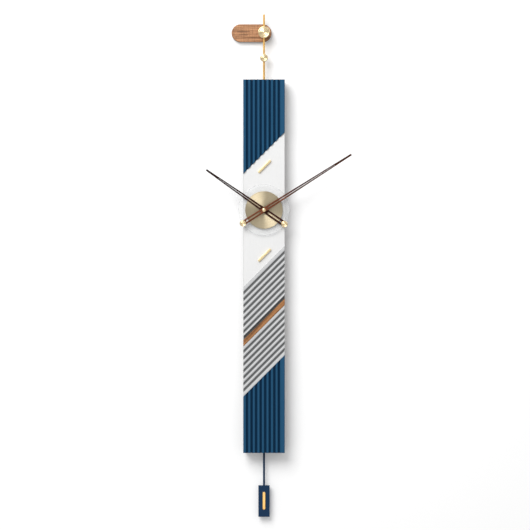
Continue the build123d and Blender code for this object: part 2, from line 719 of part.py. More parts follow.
def gear_outline(teeth, module, turn=0.0):
    """Points of one spur gear: involute flanks from a 20 degree rack, thinned a little for backlash."""
    pitch_radius = teeth * module / 2
    base_radius = pitch_radius * cos(PRESSURE_ANGLE)
    tip_radius = pitch_radius + TOOTH_RISE * module
    root_radius = pitch_radius - TOOTH_FALL * module
    half_tooth = pi / (2 * teeth) - BACKLASH / pitch_radius
    pressure = tan(PRESSURE_ANGLE) - PRESSURE_ANGLE
    start_radius = max(base_radius, root_radius)
    flank = []
    for step in range(FLANK_STEPS + 1):
        radius = start_radius + (tip_radius - start_radius) * step / FLANK_STEPS
        roll = sqrt(max((radius / base_radius) ** 2 - 1, 0))
        angle = half_tooth + pressure - (roll - atan(roll))
        flank.append((radius, angle))
    points = []
    for tooth in range(teeth):
        middle = radians(turn) + 2 * pi * tooth / teeth
        points.append((root_radius, middle - flank[0][1]))
        points += [(radius, middle - angle) for radius, angle in flank]
        points += [(radius, middle + angle) for radius, angle in reversed(flank)]
        points.append((root_radius, middle + flank[0][1]))
    outline = []
    for radius, angle in points:
        point = (radius * cos(angle), radius * sin(angle))
        if not outline or hypot(point[0] - outline[-1][0], point[1] - outline[-1][1]) > 1e-4:
            outline.append(point)
    return outline


def gear_on_axis(teeth, module, turn, x, z, back, thickness, bore_radius):
    """One spur gear on an arbor parallel to Y, with a round bore or none."""
    with BuildPart() as gear:
        with BuildSketch(Plane(origin=(x, -back, z), x_dir=(1, 0, 0), z_dir=(0, -1, 0))):
            with BuildLine():
                Polyline(*gear_outline(teeth, module, turn), close=True)
            make_face()
            if bore_radius:
                Circle(bore_radius, mode=Mode.SUBTRACT)
        extrude(amount=thickness)
    return gear.part


# Motion work: the cannon pinion turns the motion wheel, whose pinion turns the hour wheel.
CANNON_TEETH = 12
MOTION_TEETH = 36
MOTION_PINION_TEETH = 10
HOUR_TEETH = 40
motion_module = 2 * GEAR_CENTRES / (CANNON_TEETH + MOTION_TEETH)
hour_module = 2 * GEAR_CENTRES / (MOTION_PINION_TEETH + HOUR_TEETH)
HOUR_WHEEL_BACK = 17.6
HOUR_WHEEL_THICKNESS = 1.1
MOTION_WHEEL_BACK = 15.4
MOTION_WHEEL_THICKNESS = 1.1
MOTION_PINION_FRONT = 18.85
MOTION_TAIL_BACK = 4.6
CANNON_LAP = 0.1
ARBOR_PAST_HAND = 1.4
ARBOR_TAIL_GAP = 0.2
pipe_radius = PIPE_DIAMETER / 2
arbor_radius = ARBOR_DIAMETER / 2
tail_radius = ARBOR_TAIL_DIAMETER / 2
away_from_centre = MOTION_ANGLE + 180

with BuildPart() as hour_wheel:
    add(gear_on_axis(
        HOUR_TEETH, hour_module, MOTION_ANGLE, 0, DIAL_Z, HOUR_WHEEL_BACK, HOUR_WHEEL_THICKNESS,
        arbor_radius + RUNNING_GAP,
    ))
    with BuildSketch(depth_plane(HOUR_WHEEL_BACK)):
        with Locations((0, DIAL_Z)):
            Circle(pipe_radius)
            Circle(arbor_radius + RUNNING_GAP, mode=Mode.SUBTRACT)
    extrude(amount=HOUR_HAND_DEPTH + HAND_THICKNESS - HOUR_WHEEL_BACK)
finish(hour_wheel, "hour_wheel")

with BuildPart() as motion_wheel:
    add(gear_on_axis(
        MOTION_TEETH, motion_module, away_from_centre + 180 / MOTION_TEETH, motion_x, motion_z,
        MOTION_WHEEL_BACK, MOTION_WHEEL_THICKNESS, 0,
    ))
    add(gear_on_axis(
        MOTION_PINION_TEETH, hour_module, away_from_centre + 180 / MOTION_PINION_TEETH, motion_x, motion_z,
        MOTION_WHEEL_BACK + MOTION_WHEEL_THICKNESS,
        MOTION_PINION_FRONT - MOTION_WHEEL_BACK - MOTION_WHEEL_THICKNESS, 0,
    ))
    with BuildSketch(depth_plane(MOTION_TAIL_BACK)):
        with Locations((motion_x, motion_z)):
            Circle(tail_radius)
    extrude(amount=floor_depth + BEARING_DEPTH - MOTION_TAIL_BACK)
finish(motion_wheel, "motion_wheel")

KNOB_DIAMETER = 11.0
KNOB_BACK = 4.5
KNOB_THICKNESS = 1.3
KNOB_NOTCHES = 18
KNOB_NOTCH_RADIUS = 0.55
KNOB_NOTCH_OFFSET = 0.2

with BuildPart() as setting_knob:
    with BuildSketch(depth_plane(KNOB_BACK)):
        with Locations((motion_x, motion_z)):
            Circle(KNOB_DIAMETER / 2)
            Circle(tail_radius, mode=Mode.SUBTRACT)
            with PolarLocations(KNOB_DIAMETER / 2 + KNOB_NOTCH_OFFSET, KNOB_NOTCHES):
                Circle(KNOB_NOTCH_RADIUS, mode=Mode.SUBTRACT)
    extrude(amount=KNOB_THICKNESS)
finish(setting_knob, "setting_knob")

cannon_back = MOTION_WHEEL_BACK - CANNON_LAP
cannon_front = MOTION_WHEEL_BACK + MOTION_WHEEL_THICKNESS + CANNON_LAP
arbor_front = MINUTE_HAND_DEPTH + HAND_THICKNESS + ARBOR_PAST_HAND
arbor_back = COVER_BACK + ARBOR_TAIL_GAP

with BuildPart() as minute_arbor:
    add(gear_on_axis(
        CANNON_TEETH, motion_module, MOTION_ANGLE, 0, DIAL_Z, cannon_back, cannon_front - cannon_back, 0,
    ))
    with BuildSketch(depth_plane(cannon_front)):
        with Locations((0, DIAL_Z)):
            Circle(arbor_radius)
    extrude(amount=arbor_front - cannon_front)
    with BuildSketch(depth_plane(arbor_back)):
        with Locations((0, DIAL_Z)):
            Circle(tail_radius)
    extrude(amount=cannon_back - arbor_back)
finish(minute_arbor, "minute_arbor")

# Going train: it stands still while the knob sets the hands, because the centre wheel slips.
TRAIN_MODULE = 0.25
CENTRE_TEETH = 60
THIRD_TEETH = 48
TRAIN_PINION_TEETH = 10
THIRD_ANGLE = 45.0
ROTOR_ANGLE = 15.0
CENTRE_WHEEL_BACK = 13.5
THIRD_WHEEL_BACK = 12.4
WHEEL_THICKNESS = 0.8
CENTRE_HUB_RADIUS = 2.2
CENTRE_HUB_LENGTH = 0.6
THIRD_PINION_LENGTH = 1.4
THIRD_ARBOR_RADIUS = 0.5
THIRD_ARBOR_FRONT = 16.8
ROTOR_MAGNET_BACK = 9.9
ROTOR_MAGNET_LENGTH = 2.2
ROTOR_MAGNET_RADIUS = 2.5
ROTOR_PINION_LENGTH = 1.2
ROTOR_ARBOR_RADIUS = 0.4
ROTOR_ARBOR_FRONT = 14.4
third_reach = TRAIN_MODULE * (CENTRE_TEETH + TRAIN_PINION_TEETH) / 2
rotor_reach = TRAIN_MODULE * (THIRD_TEETH + TRAIN_PINION_TEETH) / 2
train_x = third_reach * cos(radians(THIRD_ANGLE))
train_z = DIAL_Z + third_reach * sin(radians(THIRD_ANGLE))
rotor_x = train_x + rotor_reach * cos(radians(ROTOR_ANGLE))
rotor_z = train_z + rotor_reach * sin(radians(ROTOR_ANGLE))
half_pinion_tooth = 180 / TRAIN_PINION_TEETH
cover_front = COVER_BACK + COVER_THICKNESS
slip_bore = tail_radius + FIT_GAP

with BuildPart() as centre_wheel:
    add(gear_on_axis(
        CENTRE_TEETH, TRAIN_MODULE, THIRD_ANGLE, 0, DIAL_Z, CENTRE_WHEEL_BACK, WHEEL_THICKNESS, slip_bore,
    ))
    with BuildSketch(depth_plane(CENTRE_WHEEL_BACK + WHEEL_THICKNESS)):
        with Locations((0, DIAL_Z)):
            Circle(CENTRE_HUB_RADIUS)
            Circle(slip_bore, mode=Mode.SUBTRACT)
    extrude(amount=CENTRE_HUB_LENGTH)
finish(centre_wheel, "centre_wheel")

with BuildPart() as third_wheel:
    add(gear_on_axis(
        THIRD_TEETH, TRAIN_MODULE, ROTOR_ANGLE, train_x, train_z, THIRD_WHEEL_BACK, WHEEL_THICKNESS, 0,
    ))
    add(gear_on_axis(
        TRAIN_PINION_TEETH, TRAIN_MODULE, THIRD_ANGLE + 180 + half_pinion_tooth, train_x, train_z,
        THIRD_WHEEL_BACK + WHEEL_THICKNESS, THIRD_PINION_LENGTH, 0,
    ))
    with BuildSketch(depth_plane(cover_front)):
        with Locations((train_x, train_z)):
            Circle(THIRD_ARBOR_RADIUS)
    extrude(amount=THIRD_ARBOR_FRONT - cover_front)
finish(third_wheel, "third_wheel")

with BuildPart() as rotor:
    add(gear_on_axis(
        TRAIN_PINION_TEETH, TRAIN_MODULE, ROTOR_ANGLE + 180 + half_pinion_tooth, rotor_x, rotor_z,
        ROTOR_MAGNET_BACK + ROTOR_MAGNET_LENGTH, ROTOR_PINION_LENGTH, 0,
    ))
    with BuildSketch(depth_plane(ROTOR_MAGNET_BACK)):
        with Locations((rotor_x, rotor_z)):
            Circle(ROTOR_MAGNET_RADIUS)
    extrude(amount=ROTOR_MAGNET_LENGTH)
    with BuildSketch(depth_plane(cover_front)):
        with Locations((rotor_x, rotor_z)):
            Circle(ROTOR_ARBOR_RADIUS)
    extrude(amount=ROTOR_ARBOR_FRONT - cover_front)
finish(rotor, "rotor")

COIL_X = 21.5
COIL_DEPTH = 11.6
COIL_FLANGE_RADIUS = 4.0
COIL_RADIUS = 3.4
COIL_FLANGE = 1.0
COIL_CORE = (2.6, 1.3)
coil_low = DIAL_Z - 6.0
coil_high = DIAL_Z + 20.0

with BuildPart() as drive_coil:
    for low, high, radius in (
        (coil_low, coil_low + COIL_FLANGE, COIL_FLANGE_RADIUS),
        (coil_low + COIL_FLANGE, coil_high - COIL_FLANGE, COIL_RADIUS),
        (coil_high - COIL_FLANGE, coil_high, COIL_FLANGE_RADIUS),
    ):
        with BuildSketch(Plane.XY.offset(low)):
            with Locations((COIL_X, -COIL_DEPTH)):
                Circle(radius)
                Rectangle(*COIL_CORE, mode=Mode.SUBTRACT)
        extrude(amount=high - low)
finish(drive_coil, "drive_coil")

STATOR_THICKNESS = 1.0
STATOR_REACH = 3.0
CORE_WIDTH = 2.2
POLE_SIZE = (8.4, 9.0)
POLE_BORE_RADIUS = 3.0
POLE_LEG_WIDTH = 3.6
BRIDGE_HEIGHT = 2.0
stator_top = coil_high + STATOR_REACH

with BuildPart() as stator:
    with BuildSketch(depth_plane(COIL_DEPTH - STATOR_THICKNESS / 2)):
        with Locations((rotor_x, rotor_z)):
            Rectangle(*POLE_SIZE)
        with Locations((COIL_X, (coil_low + coil_high) / 2)):
            Rectangle(CORE_WIDTH, coil_high - coil_low + 2 * STATOR_REACH)
        with Locations(((rotor_x + COIL_X) / 2, stator_top - BRIDGE_HEIGHT / 2)):
            Rectangle(COIL_X - rotor_x + CORE_WIDTH, BRIDGE_HEIGHT)
        with Locations((rotor_x, (rotor_z + stator_top) / 2)):
            Rectangle(POLE_LEG_WIDTH, stator_top - rotor_z)
        with Locations((rotor_x, rotor_z)):
            Circle(POLE_BORE_RADIUS, mode=Mode.SUBTRACT)
    extrude(amount=STATOR_THICKNESS)
finish(stator, "stator")

BOARD_THICKNESS = 1.0
BOARD_BACK = 17.0
CHIP_RADIUS = 2.6
CHIP_RISE = 0.9
CHIP_OFFSET = 3.0
CRYSTAL_LENGTH = 7.0
CRYSTAL_WIDTH = 2.0
CRYSTAL_RISE = 1.6
CRYSTAL_OFFSET = -5.0


def circuit_board(x, z, width, height):
    """A small board with the chip's resin dome and a crystal can on it."""
    with BuildPart() as board:
        with BuildSketch(depth_plane(BOARD_BACK)):
            with Locations((x, z)):
                Rectangle(width, height)
        extrude(amount=BOARD_THICKNESS)
        with BuildSketch(depth_plane(BOARD_BACK - CHIP_RISE)):
            with Locations((x, z + CHIP_OFFSET)):
                Circle(CHIP_RADIUS)
        extrude(amount=CHIP_RISE + FIT_GAP)
        with BuildSketch(depth_plane(BOARD_BACK - CRYSTAL_RISE)):
            with Locations((x, z + CRYSTAL_OFFSET)):
                SlotOverall(CRYSTAL_LENGTH, CRYSTAL_WIDTH)
        extrude(amount=CRYSTAL_RISE + FIT_GAP)
    return board


movement_board = circuit_board(19.6, DIAL_Z + 5.0, 12.8, 28.0)
finish(movement_board, "movement_board")

CELL_NUB_LENGTH = 1.2
CELL_NUB_RADIUS = 2.7
CELL_ROUNDING = 0.5
cell_start = (CELL_NUB_LENGTH - BATTERY_LENGTH) / 2


def dry_cell(z, depth):
    """An AA cell along X, with its raised contact to the right."""
    with BuildPart() as cell:
        with BuildSketch(Plane.YZ.offset(cell_start)):
            with Locations((-depth, z)):
                Circle(BATTERY_DIAMETER / 2)
        extrude(amount=BATTERY_LENGTH - CELL_NUB_LENGTH)
        fillet(cell.edges().filter_by(GeomType.CIRCLE), CELL_ROUNDING)
        with BuildSketch(Plane.YZ.offset(-cell_start)):
            with Locations((-depth, z)):
                Circle(CELL_NUB_RADIUS)
        extrude(amount=CELL_NUB_LENGTH)
    return cell


CONTACT_SIZE = (9.0, 10.0)
CONTACT_THICKNESS = 0.4
SPRING_RADIUS = 4.0
SPRING_TAPER = 30


def cell_contacts(z, depth):
    """The sprung plate at the flat end of a cell and the dished plate at its raised end."""
    with BuildPart() as contacts:
        with BuildSketch(Plane.YZ.offset(-case_inner / 2)):
            with Locations((-depth, z)):
                Rectangle(*CONTACT_SIZE)
        extrude(amount=CONTACT_THICKNESS)
        with BuildSketch(Plane.YZ.offset(CONTACT_THICKNESS - case_inner / 2)):
            with Locations((-depth, z)):
                Circle(SPRING_RADIUS)
        extrude(amount=cell_start + case_inner / 2 - CONTACT_THICKNESS, taper=SPRING_TAPER)
        with BuildSketch(Plane.YZ.offset(case_inner / 2 - CONTACT_THICKNESS)):
            with Locations((-depth, z)):
                Rectangle(*CONTACT_SIZE)
        extrude(amount=CONTACT_THICKNESS)
    return contacts


CELL_DEPTH = 11.7
CELL_OFFSET = 19.4
movement_cell = dry_cell(DIAL_Z - CELL_OFFSET, CELL_DEPTH)
finish(movement_cell, "movement_cell")
movement_contacts = cell_contacts(DIAL_Z - CELL_OFFSET, CELL_DEPTH)
finish(movement_contacts, "movement_contacts")

# --- Hands: a forked walnut blade with a turned brass weight on its tail ---------------------

HAND_TIP_WIDTH = 3.5
MINUTE_TAIL_WIDTH = 9.8
HOUR_TAIL_WIDTH = 11.0
SLOT_START = 8.5
SLOT_START_WIDTH = 1.7
SLOT_END_WIDTH = 0.3
TAIL_SLOT_WIDTH = 3.0
MINUTE_SOLID_TIP = 38.6
HOUR_SOLID_TIP = 29.4
TAIL_DIAMETER = 12.4
TAIL_THICKNESS = 2.6
TAIL_ROUNDING = 0.5
TAIL_SLOT_GAP = 1.5
HAND_EDGE = 0.25
BUSH_STEP = 0.3


def hand_plane(depth, angle):
    """The plane of a hand, with its local y along the hand for an angle clockwise from twelve."""
    turn = radians(angle)
    return Plane(origin=(0, -depth, DIAL_Z), x_dir=(cos(turn), 0, -sin(turn)), z_dir=(0, -1, 0))


def hand_blade(depth, angle, length, tail_width, solid_tip, bore_radius):
    """The walnut part: one long taper from tail to tip, forked both ways from a solid hub."""
    slot_end = length - solid_tip
    tail_half = tail_width / 2
    tip_half = HAND_TIP_WIDTH / 2
    tail_slot_end = TAIL_REACH - TAIL_DIAMETER / 2 - TAIL_SLOT_GAP
    with BuildPart() as blade:
        with BuildSketch(hand_plane(depth, angle)):
            with BuildLine():
                Polyline(
                    (-tail_half, -TAIL_REACH), (tail_half, -TAIL_REACH),
                    (tip_half, length), (-tip_half, length), close=True,
                )
            make_face()
            with BuildLine():
                Polyline(
                    (-SLOT_START_WIDTH / 2, SLOT_START), (SLOT_START_WIDTH / 2, SLOT_START),
                    (SLOT_END_WIDTH / 2, slot_end), (-SLOT_END_WIDTH / 2, slot_end), close=True,
                )
            make_face(mode=Mode.SUBTRACT)
            with Locations((0, -(SLOT_START + tail_slot_end) / 2)):
                Rectangle(TAIL_SLOT_WIDTH, tail_slot_end - SLOT_START, mode=Mode.SUBTRACT)
            with Locations((0, -TAIL_REACH)):
                Circle(TAIL_DIAMETER / 2, mode=Mode.SUBTRACT)
            Circle(bore_radius, mode=Mode.SUBTRACT)
        extrude(amount=HAND_THICKNESS)
        chamfer(blade.faces().sort_by(Axis.Y)[0].outer_wire().edges(), HAND_EDGE)
    return blade


def hand_tail(depth, angle):
    """The turned brass weight let into the end of a hand's tail."""
    plane = hand_plane(depth - (TAIL_THICKNESS - HAND_THICKNESS) / 2, angle)
    with BuildPart() as tail:
        with BuildSketch(plane):
            with Locations((0, -TAIL_REACH)):
                Circle(TAIL_DIAMETER / 2)
        extrude(amount=TAIL_THICKNESS)
        fillet(tail.edges().filter_by(GeomType.CIRCLE), TAIL_ROUNDING)
    return tail


def hand_bush(depth, inner, outer):
    """The brass tube pressed into a hand's hub."""
    with BuildPart() as bush:
        with BuildSketch(depth_plane(depth - BUSH_STEP)):
            with Locations((0, DIAL_Z)):
                Circle(outer)
                Circle(inner, mode=Mode.SUBTRACT)
        extrude(amount=HAND_THICKNESS + BUSH_STEP)
    return bush


minute_bush_radius = arbor_radius + 1.6
hour_bush_radius = pipe_radius + 1.0

minute_hand = hand_blade(
    MINUTE_HAND_DEPTH, MINUTE_ANGLE, MINUTE_LENGTH, MINUTE_TAIL_WIDTH, MINUTE_SOLID_TIP, minute_bush_radius,
)
finish(minute_hand, "minute_hand")
minute_tail = hand_tail(MINUTE_HAND_DEPTH, MINUTE_ANGLE)
finish(minute_tail, "minute_tail")
minute_bush = hand_bush(MINUTE_HAND_DEPTH, arbor_radius, minute_bush_radius)
finish(minute_bush, "minute_bush")

hour_hand = hand_blade(
    HOUR_HAND_DEPTH, HOUR_ANGLE, HOUR_LENGTH, HOUR_TAIL_WIDTH, HOUR_SOLID_TIP, hour_bush_radius,
)
finish(hour_hand, "hour_hand")
hour_tail = hand_tail(HOUR_HAND_DEPTH, HOUR_ANGLE)
finish(hour_tail, "hour_tail")
hour_bush = hand_bush(HOUR_HAND_DEPTH, pipe_radius, hour_bush_radius)
finish(hour_bush, "hour_bush")

HAND_CAP_DIAMETER = 7.4
HAND_CAP_HEIGHT = 2.8
HAND_CAP_ROUNDING = 1.2
hand_cap_back = MINUTE_HAND_DEPTH + HAND_THICKNESS

with BuildPart() as hand_cap:
    with BuildSketch(depth_plane(hand_cap_back)):
        with Locations((0, DIAL_Z)):
            Circle(HAND_CAP_DIAMETER / 2)
    extrude(amount=HAND_CAP_HEIGHT)
    fillet(hand_cap.edges().group_by(Axis.Y)[0], HAND_CAP_ROUNDING)
    with BuildSketch(depth_plane(hand_cap_back)):
        with Locations((0, DIAL_Z)):
            Circle(arbor_radius)
    extrude(amount=ARBOR_PAST_HAND, mode=Mode.SUBTRACT)
finish(hand_cap, "hand_cap")

# --- Pendulum unit: a magnet on the swing arm is pushed by a coil under it -------------------

ARM_WIDTH = 5.0
ARM_THICKNESS = 2.4
ARM_BACK = SWING_DEPTH - ARM_THICKNESS / 2
SWING_PIN_RADIUS = 1.0
SWING_PIN_SEAT = 0.6
PIN_BOSS_RADIUS = 2.6
PIN_BOSS_HEIGHT = 1.6
MAGNET_Z = -788.0
SLOT_WIDTH = 22.0
SLOT_DEPTH = 9.5
pin_front = floor_depth + SWING_PIN_SEAT

drive_shell = unit_shell(UNIT_Z, 1)
with BuildPart() as drive_case:
    add(drive_shell.part)
    with BuildSketch(depth_plane(CASE_BACK)):
        with Locations((0, UNIT_Z - CASE_SIZE / 2)):
            Rectangle(SLOT_WIDTH, 4 * CASE_WALL)
    extrude(amount=SLOT_DEPTH, mode=Mode.SUBTRACT)
    with BuildSketch(depth_plane(floor_depth)):
        with Locations(*unit_screw_places):
            Circle(UNIT_SCREW_HOLE_RADIUS)
    extrude(amount=CASE_WALL, mode=Mode.SUBTRACT)
    with BuildSketch(depth_plane(floor_depth - PIN_BOSS_HEIGHT)):
        with Locations((0, SWING_Z)):
            Circle(PIN_BOSS_RADIUS)
    extrude(amount=PIN_BOSS_HEIGHT)
    with BuildSketch(depth_plane(floor_depth - PIN_BOSS_HEIGHT)):
        with Locations((0, SWING_Z)):
            Circle(SWING_PIN_RADIUS)
    extrude(amount=PIN_BOSS_HEIGHT + SWING_PIN_SEAT, mode=Mode.SUBTRACT)
finish(drive_case, "drive_case")

with BuildPart() as drive_cover:
    unit_cover_high = UNIT_Z + COVER_EDGE
    unit_cover_low = UNIT_Z - case_inner / 2 + FIT_GAP
    with BuildSketch(depth_plane(COVER_BACK)):
        with Locations((0, (unit_cover_low + unit_cover_high) / 2)):
            RectangleRounded(case_inner - 2 * FIT_GAP, unit_cover_high - unit_cover_low, COVER_CORNER)
        with Locations((0, SWING_Z)):
            Circle(SWING_PIN_RADIUS, mode=Mode.SUBTRACT)
    extrude(amount=COVER_THICKNESS)
finish(drive_cover, "drive_cover")

with BuildPart() as swing_pin:
    with BuildSketch(depth_plane(COVER_BACK)):
        with Locations((0, SWING_Z)):
            Circle(SWING_PIN_RADIUS)
    extrude(amount=pin_front - COVER_BACK)
finish(swing_pin, "swing_pin")

PUSH_COIL_BACK = 14.6
PUSH_COIL_RADIUS = 8.0
PUSH_COIL_BORE = 2.5

with BuildPart() as push_coil:
    with BuildSketch(depth_plane(PUSH_COIL_BACK)):
        with Locations((0, MAGNET_Z)):
            Circle(PUSH_COIL_RADIUS)
            Circle(PUSH_COIL_BORE, mode=Mode.SUBTRACT)
    extrude(amount=floor_depth - PUSH_COIL_BACK)
finish(push_coil, "push_coil")

drive_board = circuit_board(19.0, UNIT_Z, 12.0, 20.0)
finish(drive_board, "drive_board")
drive_cell = dry_cell(UNIT_Z + CELL_OFFSET, CELL_DEPTH)
finish(drive_cell, "drive_cell")
drive_contacts = cell_contacts(UNIT_Z + CELL_OFFSET, CELL_DEPTH)
finish(drive_contacts, "drive_contacts")

UNIT_SCREW_HEAD_RADIUS = 2.6
UNIT_SCREW_HEAD = 1.6
UNIT_SCREW_SLOT = (3.4, 0.7)
UNIT_SCREW_SLOT_DEPTH = 1.0
UNIT_SCREW_SHANK_RADIUS = 1.2
UNIT_SCREW_TIP_GAP = 0.1

with BuildPart() as unit_screws:
    with BuildSketch(depth_plane(floor_depth - UNIT_SCREW_HEAD)):
        with Locations(*unit_screw_places):
            Circle(UNIT_SCREW_HEAD_RADIUS)
    extrude(amount=UNIT_SCREW_HEAD)
    with BuildSketch(depth_plane(floor_depth - UNIT_SCREW_HEAD)):
        with Locations(*unit_screw_places):
            Rectangle(*UNIT_SCREW_SLOT)
    extrude(amount=UNIT_SCREW_SLOT_DEPTH, mode=Mode.SUBTRACT)
    with BuildSketch(depth_plane(floor_depth)):
        with Locations(*unit_screw_places):
            Circle(UNIT_SCREW_SHANK_RADIUS)
    extrude(amount=UNIT_SCREW_TIP - UNIT_SCREW_TIP_GAP - floor_depth)
finish(unit_screws, "unit_screws")

# --- Pendulum: moulded swing arm, magnet, thin painted rod and flat bob with a brass bar -----

SOCKET_TOP = -803.0
SOCKET_BOTTOM = -818.0
SOCKET_DIAMETER = 6.5
ARM_IN_SOCKET = 2.0
HUB_RADIUS = 4.0
HUB_PROUD = 0.5
MAGNET_PAD_RADIUS = 5.5
MAGNET_RADIUS = 4.5
MAGNET_THICKNESS = 3.0
ROD_SEAT = 12.0
BOB_SEAT = 10.0
BOB_EDGE = 0.4
BAR_RECESS = 0.4
BAR_THICKNESS = 1.6
BAR_EDGE = 0.4
bob_back = SWING_DEPTH - BOB_THICKNESS / 2
bob_front = SWING_DEPTH + BOB_THICKNESS / 2

with BuildPart() as swing_arm:
    with BuildSketch(depth_plane(ARM_BACK - HUB_PROUD)):
        with Locations((0, SWING_Z)):
            Circle(HUB_RADIUS)
    extrude(amount=ARM_THICKNESS + 2 * HUB_PROUD)
    with BuildSketch(depth_plane(ARM_BACK)):
        with Locations((0, (SWING_Z + SOCKET_TOP - ARM_IN_SOCKET) / 2)):
            Rectangle(ARM_WIDTH, SWING_Z - SOCKET_TOP + ARM_IN_SOCKET)
        with Locations((0, MAGNET_Z)):
            Circle(MAGNET_PAD_RADIUS)
    extrude(amount=ARM_THICKNESS)
    with BuildSketch(Plane.XY.offset(SOCKET_BOTTOM)):
        with Locations((0, -SWING_DEPTH)):
            Circle(SOCKET_DIAMETER / 2)
    extrude(amount=SOCKET_TOP - SOCKET_BOTTOM)
    with BuildSketch(Plane.XY.offset(SOCKET_BOTTOM)):
        with Locations((0, -SWING_DEPTH)):
            Circle(rod_radius)
    extrude(amount=ROD_SEAT, mode=Mode.SUBTRACT)
    with BuildSketch(depth_plane(0)):
        with Locations((0, SWING_Z)):
            Circle(SWING_PIN_RADIUS + RUNNING_GAP / 2)
    extrude(amount=CASE_FRONT, mode=Mode.SUBTRACT)
finish(swing_arm, "swing_arm")

with BuildPart() as swing_magnet:
    with BuildSketch(depth_plane(ARM_BACK + ARM_THICKNESS)):
        with Locations((0, MAGNET_Z)):
            Circle(MAGNET_RADIUS)
    extrude(amount=MAGNET_THICKNESS)
    chamfer(swing_magnet.edges().group_by(Axis.Y)[0], MAGNET_THICKNESS / 10)
finish(swing_magnet, "swing_magnet")

with BuildPart() as pendulum_rod:
    with BuildSketch(Plane.XY.offset(BOB_TOP - BOB_SEAT)):
        with Locations((0, -SWING_DEPTH)):
            Circle(rod_radius)
    extrude(amount=SOCKET_BOTTOM + ROD_SEAT - BOB_TOP + BOB_SEAT)
finish(pendulum_rod, "pendulum_rod")

bar_middle = (BAR_TOP + BAR_BOTTOM) / 2
bar_length = BAR_TOP - BAR_BOTTOM

with BuildPart() as pendulum_bob:
    with BuildSketch(depth_plane(bob_back)):
        with Locations((0, (BOB_TOP + BOB_BOTTOM) / 2)):
            Rectangle(BOB_WIDTH, BOB_TOP - BOB_BOTTOM)
    extrude(amount=BOB_THICKNESS)
    chamfer(pendulum_bob.edges(), BOB_EDGE)
    with BuildSketch(Plane.XY.offset(BOB_TOP - BOB_SEAT)):
        with Locations((0, -SWING_DEPTH)):
            Circle(rod_radius)
    extrude(amount=BOB_SEAT, mode=Mode.SUBTRACT)
    with BuildSketch(depth_plane(bob_front - BAR_RECESS)):
        with Locations((0, bar_middle)):
            SlotOverall(bar_length, BAR_WIDTH, rotation=90)
    extrude(amount=BAR_RECESS, mode=Mode.SUBTRACT)
finish(pendulum_bob, "pendulum_bob")

with BuildPart() as bob_bar:
    with BuildSketch(depth_plane(bob_front - BAR_RECESS)):
        with Locations((0, bar_middle)):
            SlotOverall(bar_length, BAR_WIDTH, rotation=90)
    extrude(amount=BAR_THICKNESS)
    fillet(bob_bar.faces().sort_by(Axis.Y)[0].edges(), BAR_EDGE)
finish(bob_bar, "bob_bar")
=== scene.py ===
from math import cos, pi, radians, sin

import bpy
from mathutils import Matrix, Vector


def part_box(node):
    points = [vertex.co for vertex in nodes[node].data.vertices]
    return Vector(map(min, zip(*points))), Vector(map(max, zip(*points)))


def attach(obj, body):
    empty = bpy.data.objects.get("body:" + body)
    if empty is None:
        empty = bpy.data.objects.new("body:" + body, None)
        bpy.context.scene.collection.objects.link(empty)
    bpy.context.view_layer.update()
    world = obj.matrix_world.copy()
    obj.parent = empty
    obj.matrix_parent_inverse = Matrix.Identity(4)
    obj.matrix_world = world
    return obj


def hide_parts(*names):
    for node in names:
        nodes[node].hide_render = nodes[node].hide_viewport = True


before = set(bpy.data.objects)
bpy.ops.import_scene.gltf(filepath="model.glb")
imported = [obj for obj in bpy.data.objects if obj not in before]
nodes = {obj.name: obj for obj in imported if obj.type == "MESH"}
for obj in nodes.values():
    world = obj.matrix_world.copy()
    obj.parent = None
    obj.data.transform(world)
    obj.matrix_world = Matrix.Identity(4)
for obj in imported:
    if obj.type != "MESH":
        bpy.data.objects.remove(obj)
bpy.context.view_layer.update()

# --- Camera ------------------------------------------------------------------------------
# It stands square in front of the clock, level with the dial's lower edge, on a long lens,
# so the board's sides stay hidden and the whole clock hangs in the middle of a square picture.
CAMERA_LENS = 200
CAMERA_SENSOR = 36
PICTURE_WIDTH = 1.0335
CAMERA_AIM = (0.00195, -0.4544)
board_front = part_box("top_blue_board")[0][1]
camera_distance = PICTURE_WIDTH * CAMERA_LENS / CAMERA_SENSOR
camera_data = bpy.data.cameras.new("catalogue_camera")
camera_data.lens = CAMERA_LENS
camera_data.sensor_width = CAMERA_SENSOR
camera_data.clip_end = 50
camera = bpy.data.objects.new("catalogue_camera", camera_data)
camera.location = (CAMERA_AIM[0], board_front - camera_distance, CAMERA_AIM[1])
camera.rotation_euler = (pi / 2, 0, 0)
bpy.context.scene.collection.objects.link(camera)
bpy.context.scene.camera = camera


# --- Wall plate --------------------------------------------------------------------------
# A capsule of oiled walnut, sawn with the grain along its length, its front edge rounded over
# and the face sanded. Two hairlines are cut across its left half and filled with dark wax.
PLATE_GRAIN = 0.0
PLATE_LIGHT = (0.60, 0.305, 0.155)
PLATE_DARK = (0.255, 0.118, 0.056)
PLATE_BAND = 0.0026
OILED_GLOSS = 0.2
DARK_SIDES_BELOW = 0.0002


def start_finish(name, roughness, metallic=0.0):
    """A new material: its node tree and its shader, with the object's own coordinates ready."""
    finish = bpy.data.materials.new(name)
    finish.use_nodes = True
    tree = finish.node_tree
    shader = tree.nodes["Principled BSDF"]
    shader.inputs["Roughness"].default_value = roughness
    shader.inputs["Metallic"].default_value = metallic
    place = tree.nodes.new("ShaderNodeTexCoord").outputs["Object"]
    return finish, tree, shader, place


def stretched(tree, place, turn, size):
    """The place turned about the depth axis, then measured in sizes: along, deep and across."""
    mapping = tree.nodes.new("ShaderNodeMapping")
    mapping.vector_type = "TEXTURE"
    mapping.inputs["Rotation"].default_value = (0, turn, 0)
    mapping.inputs["Scale"].default_value = size
    tree.links.new(place, mapping.inputs["Vector"])
    return mapping.outputs["Vector"]


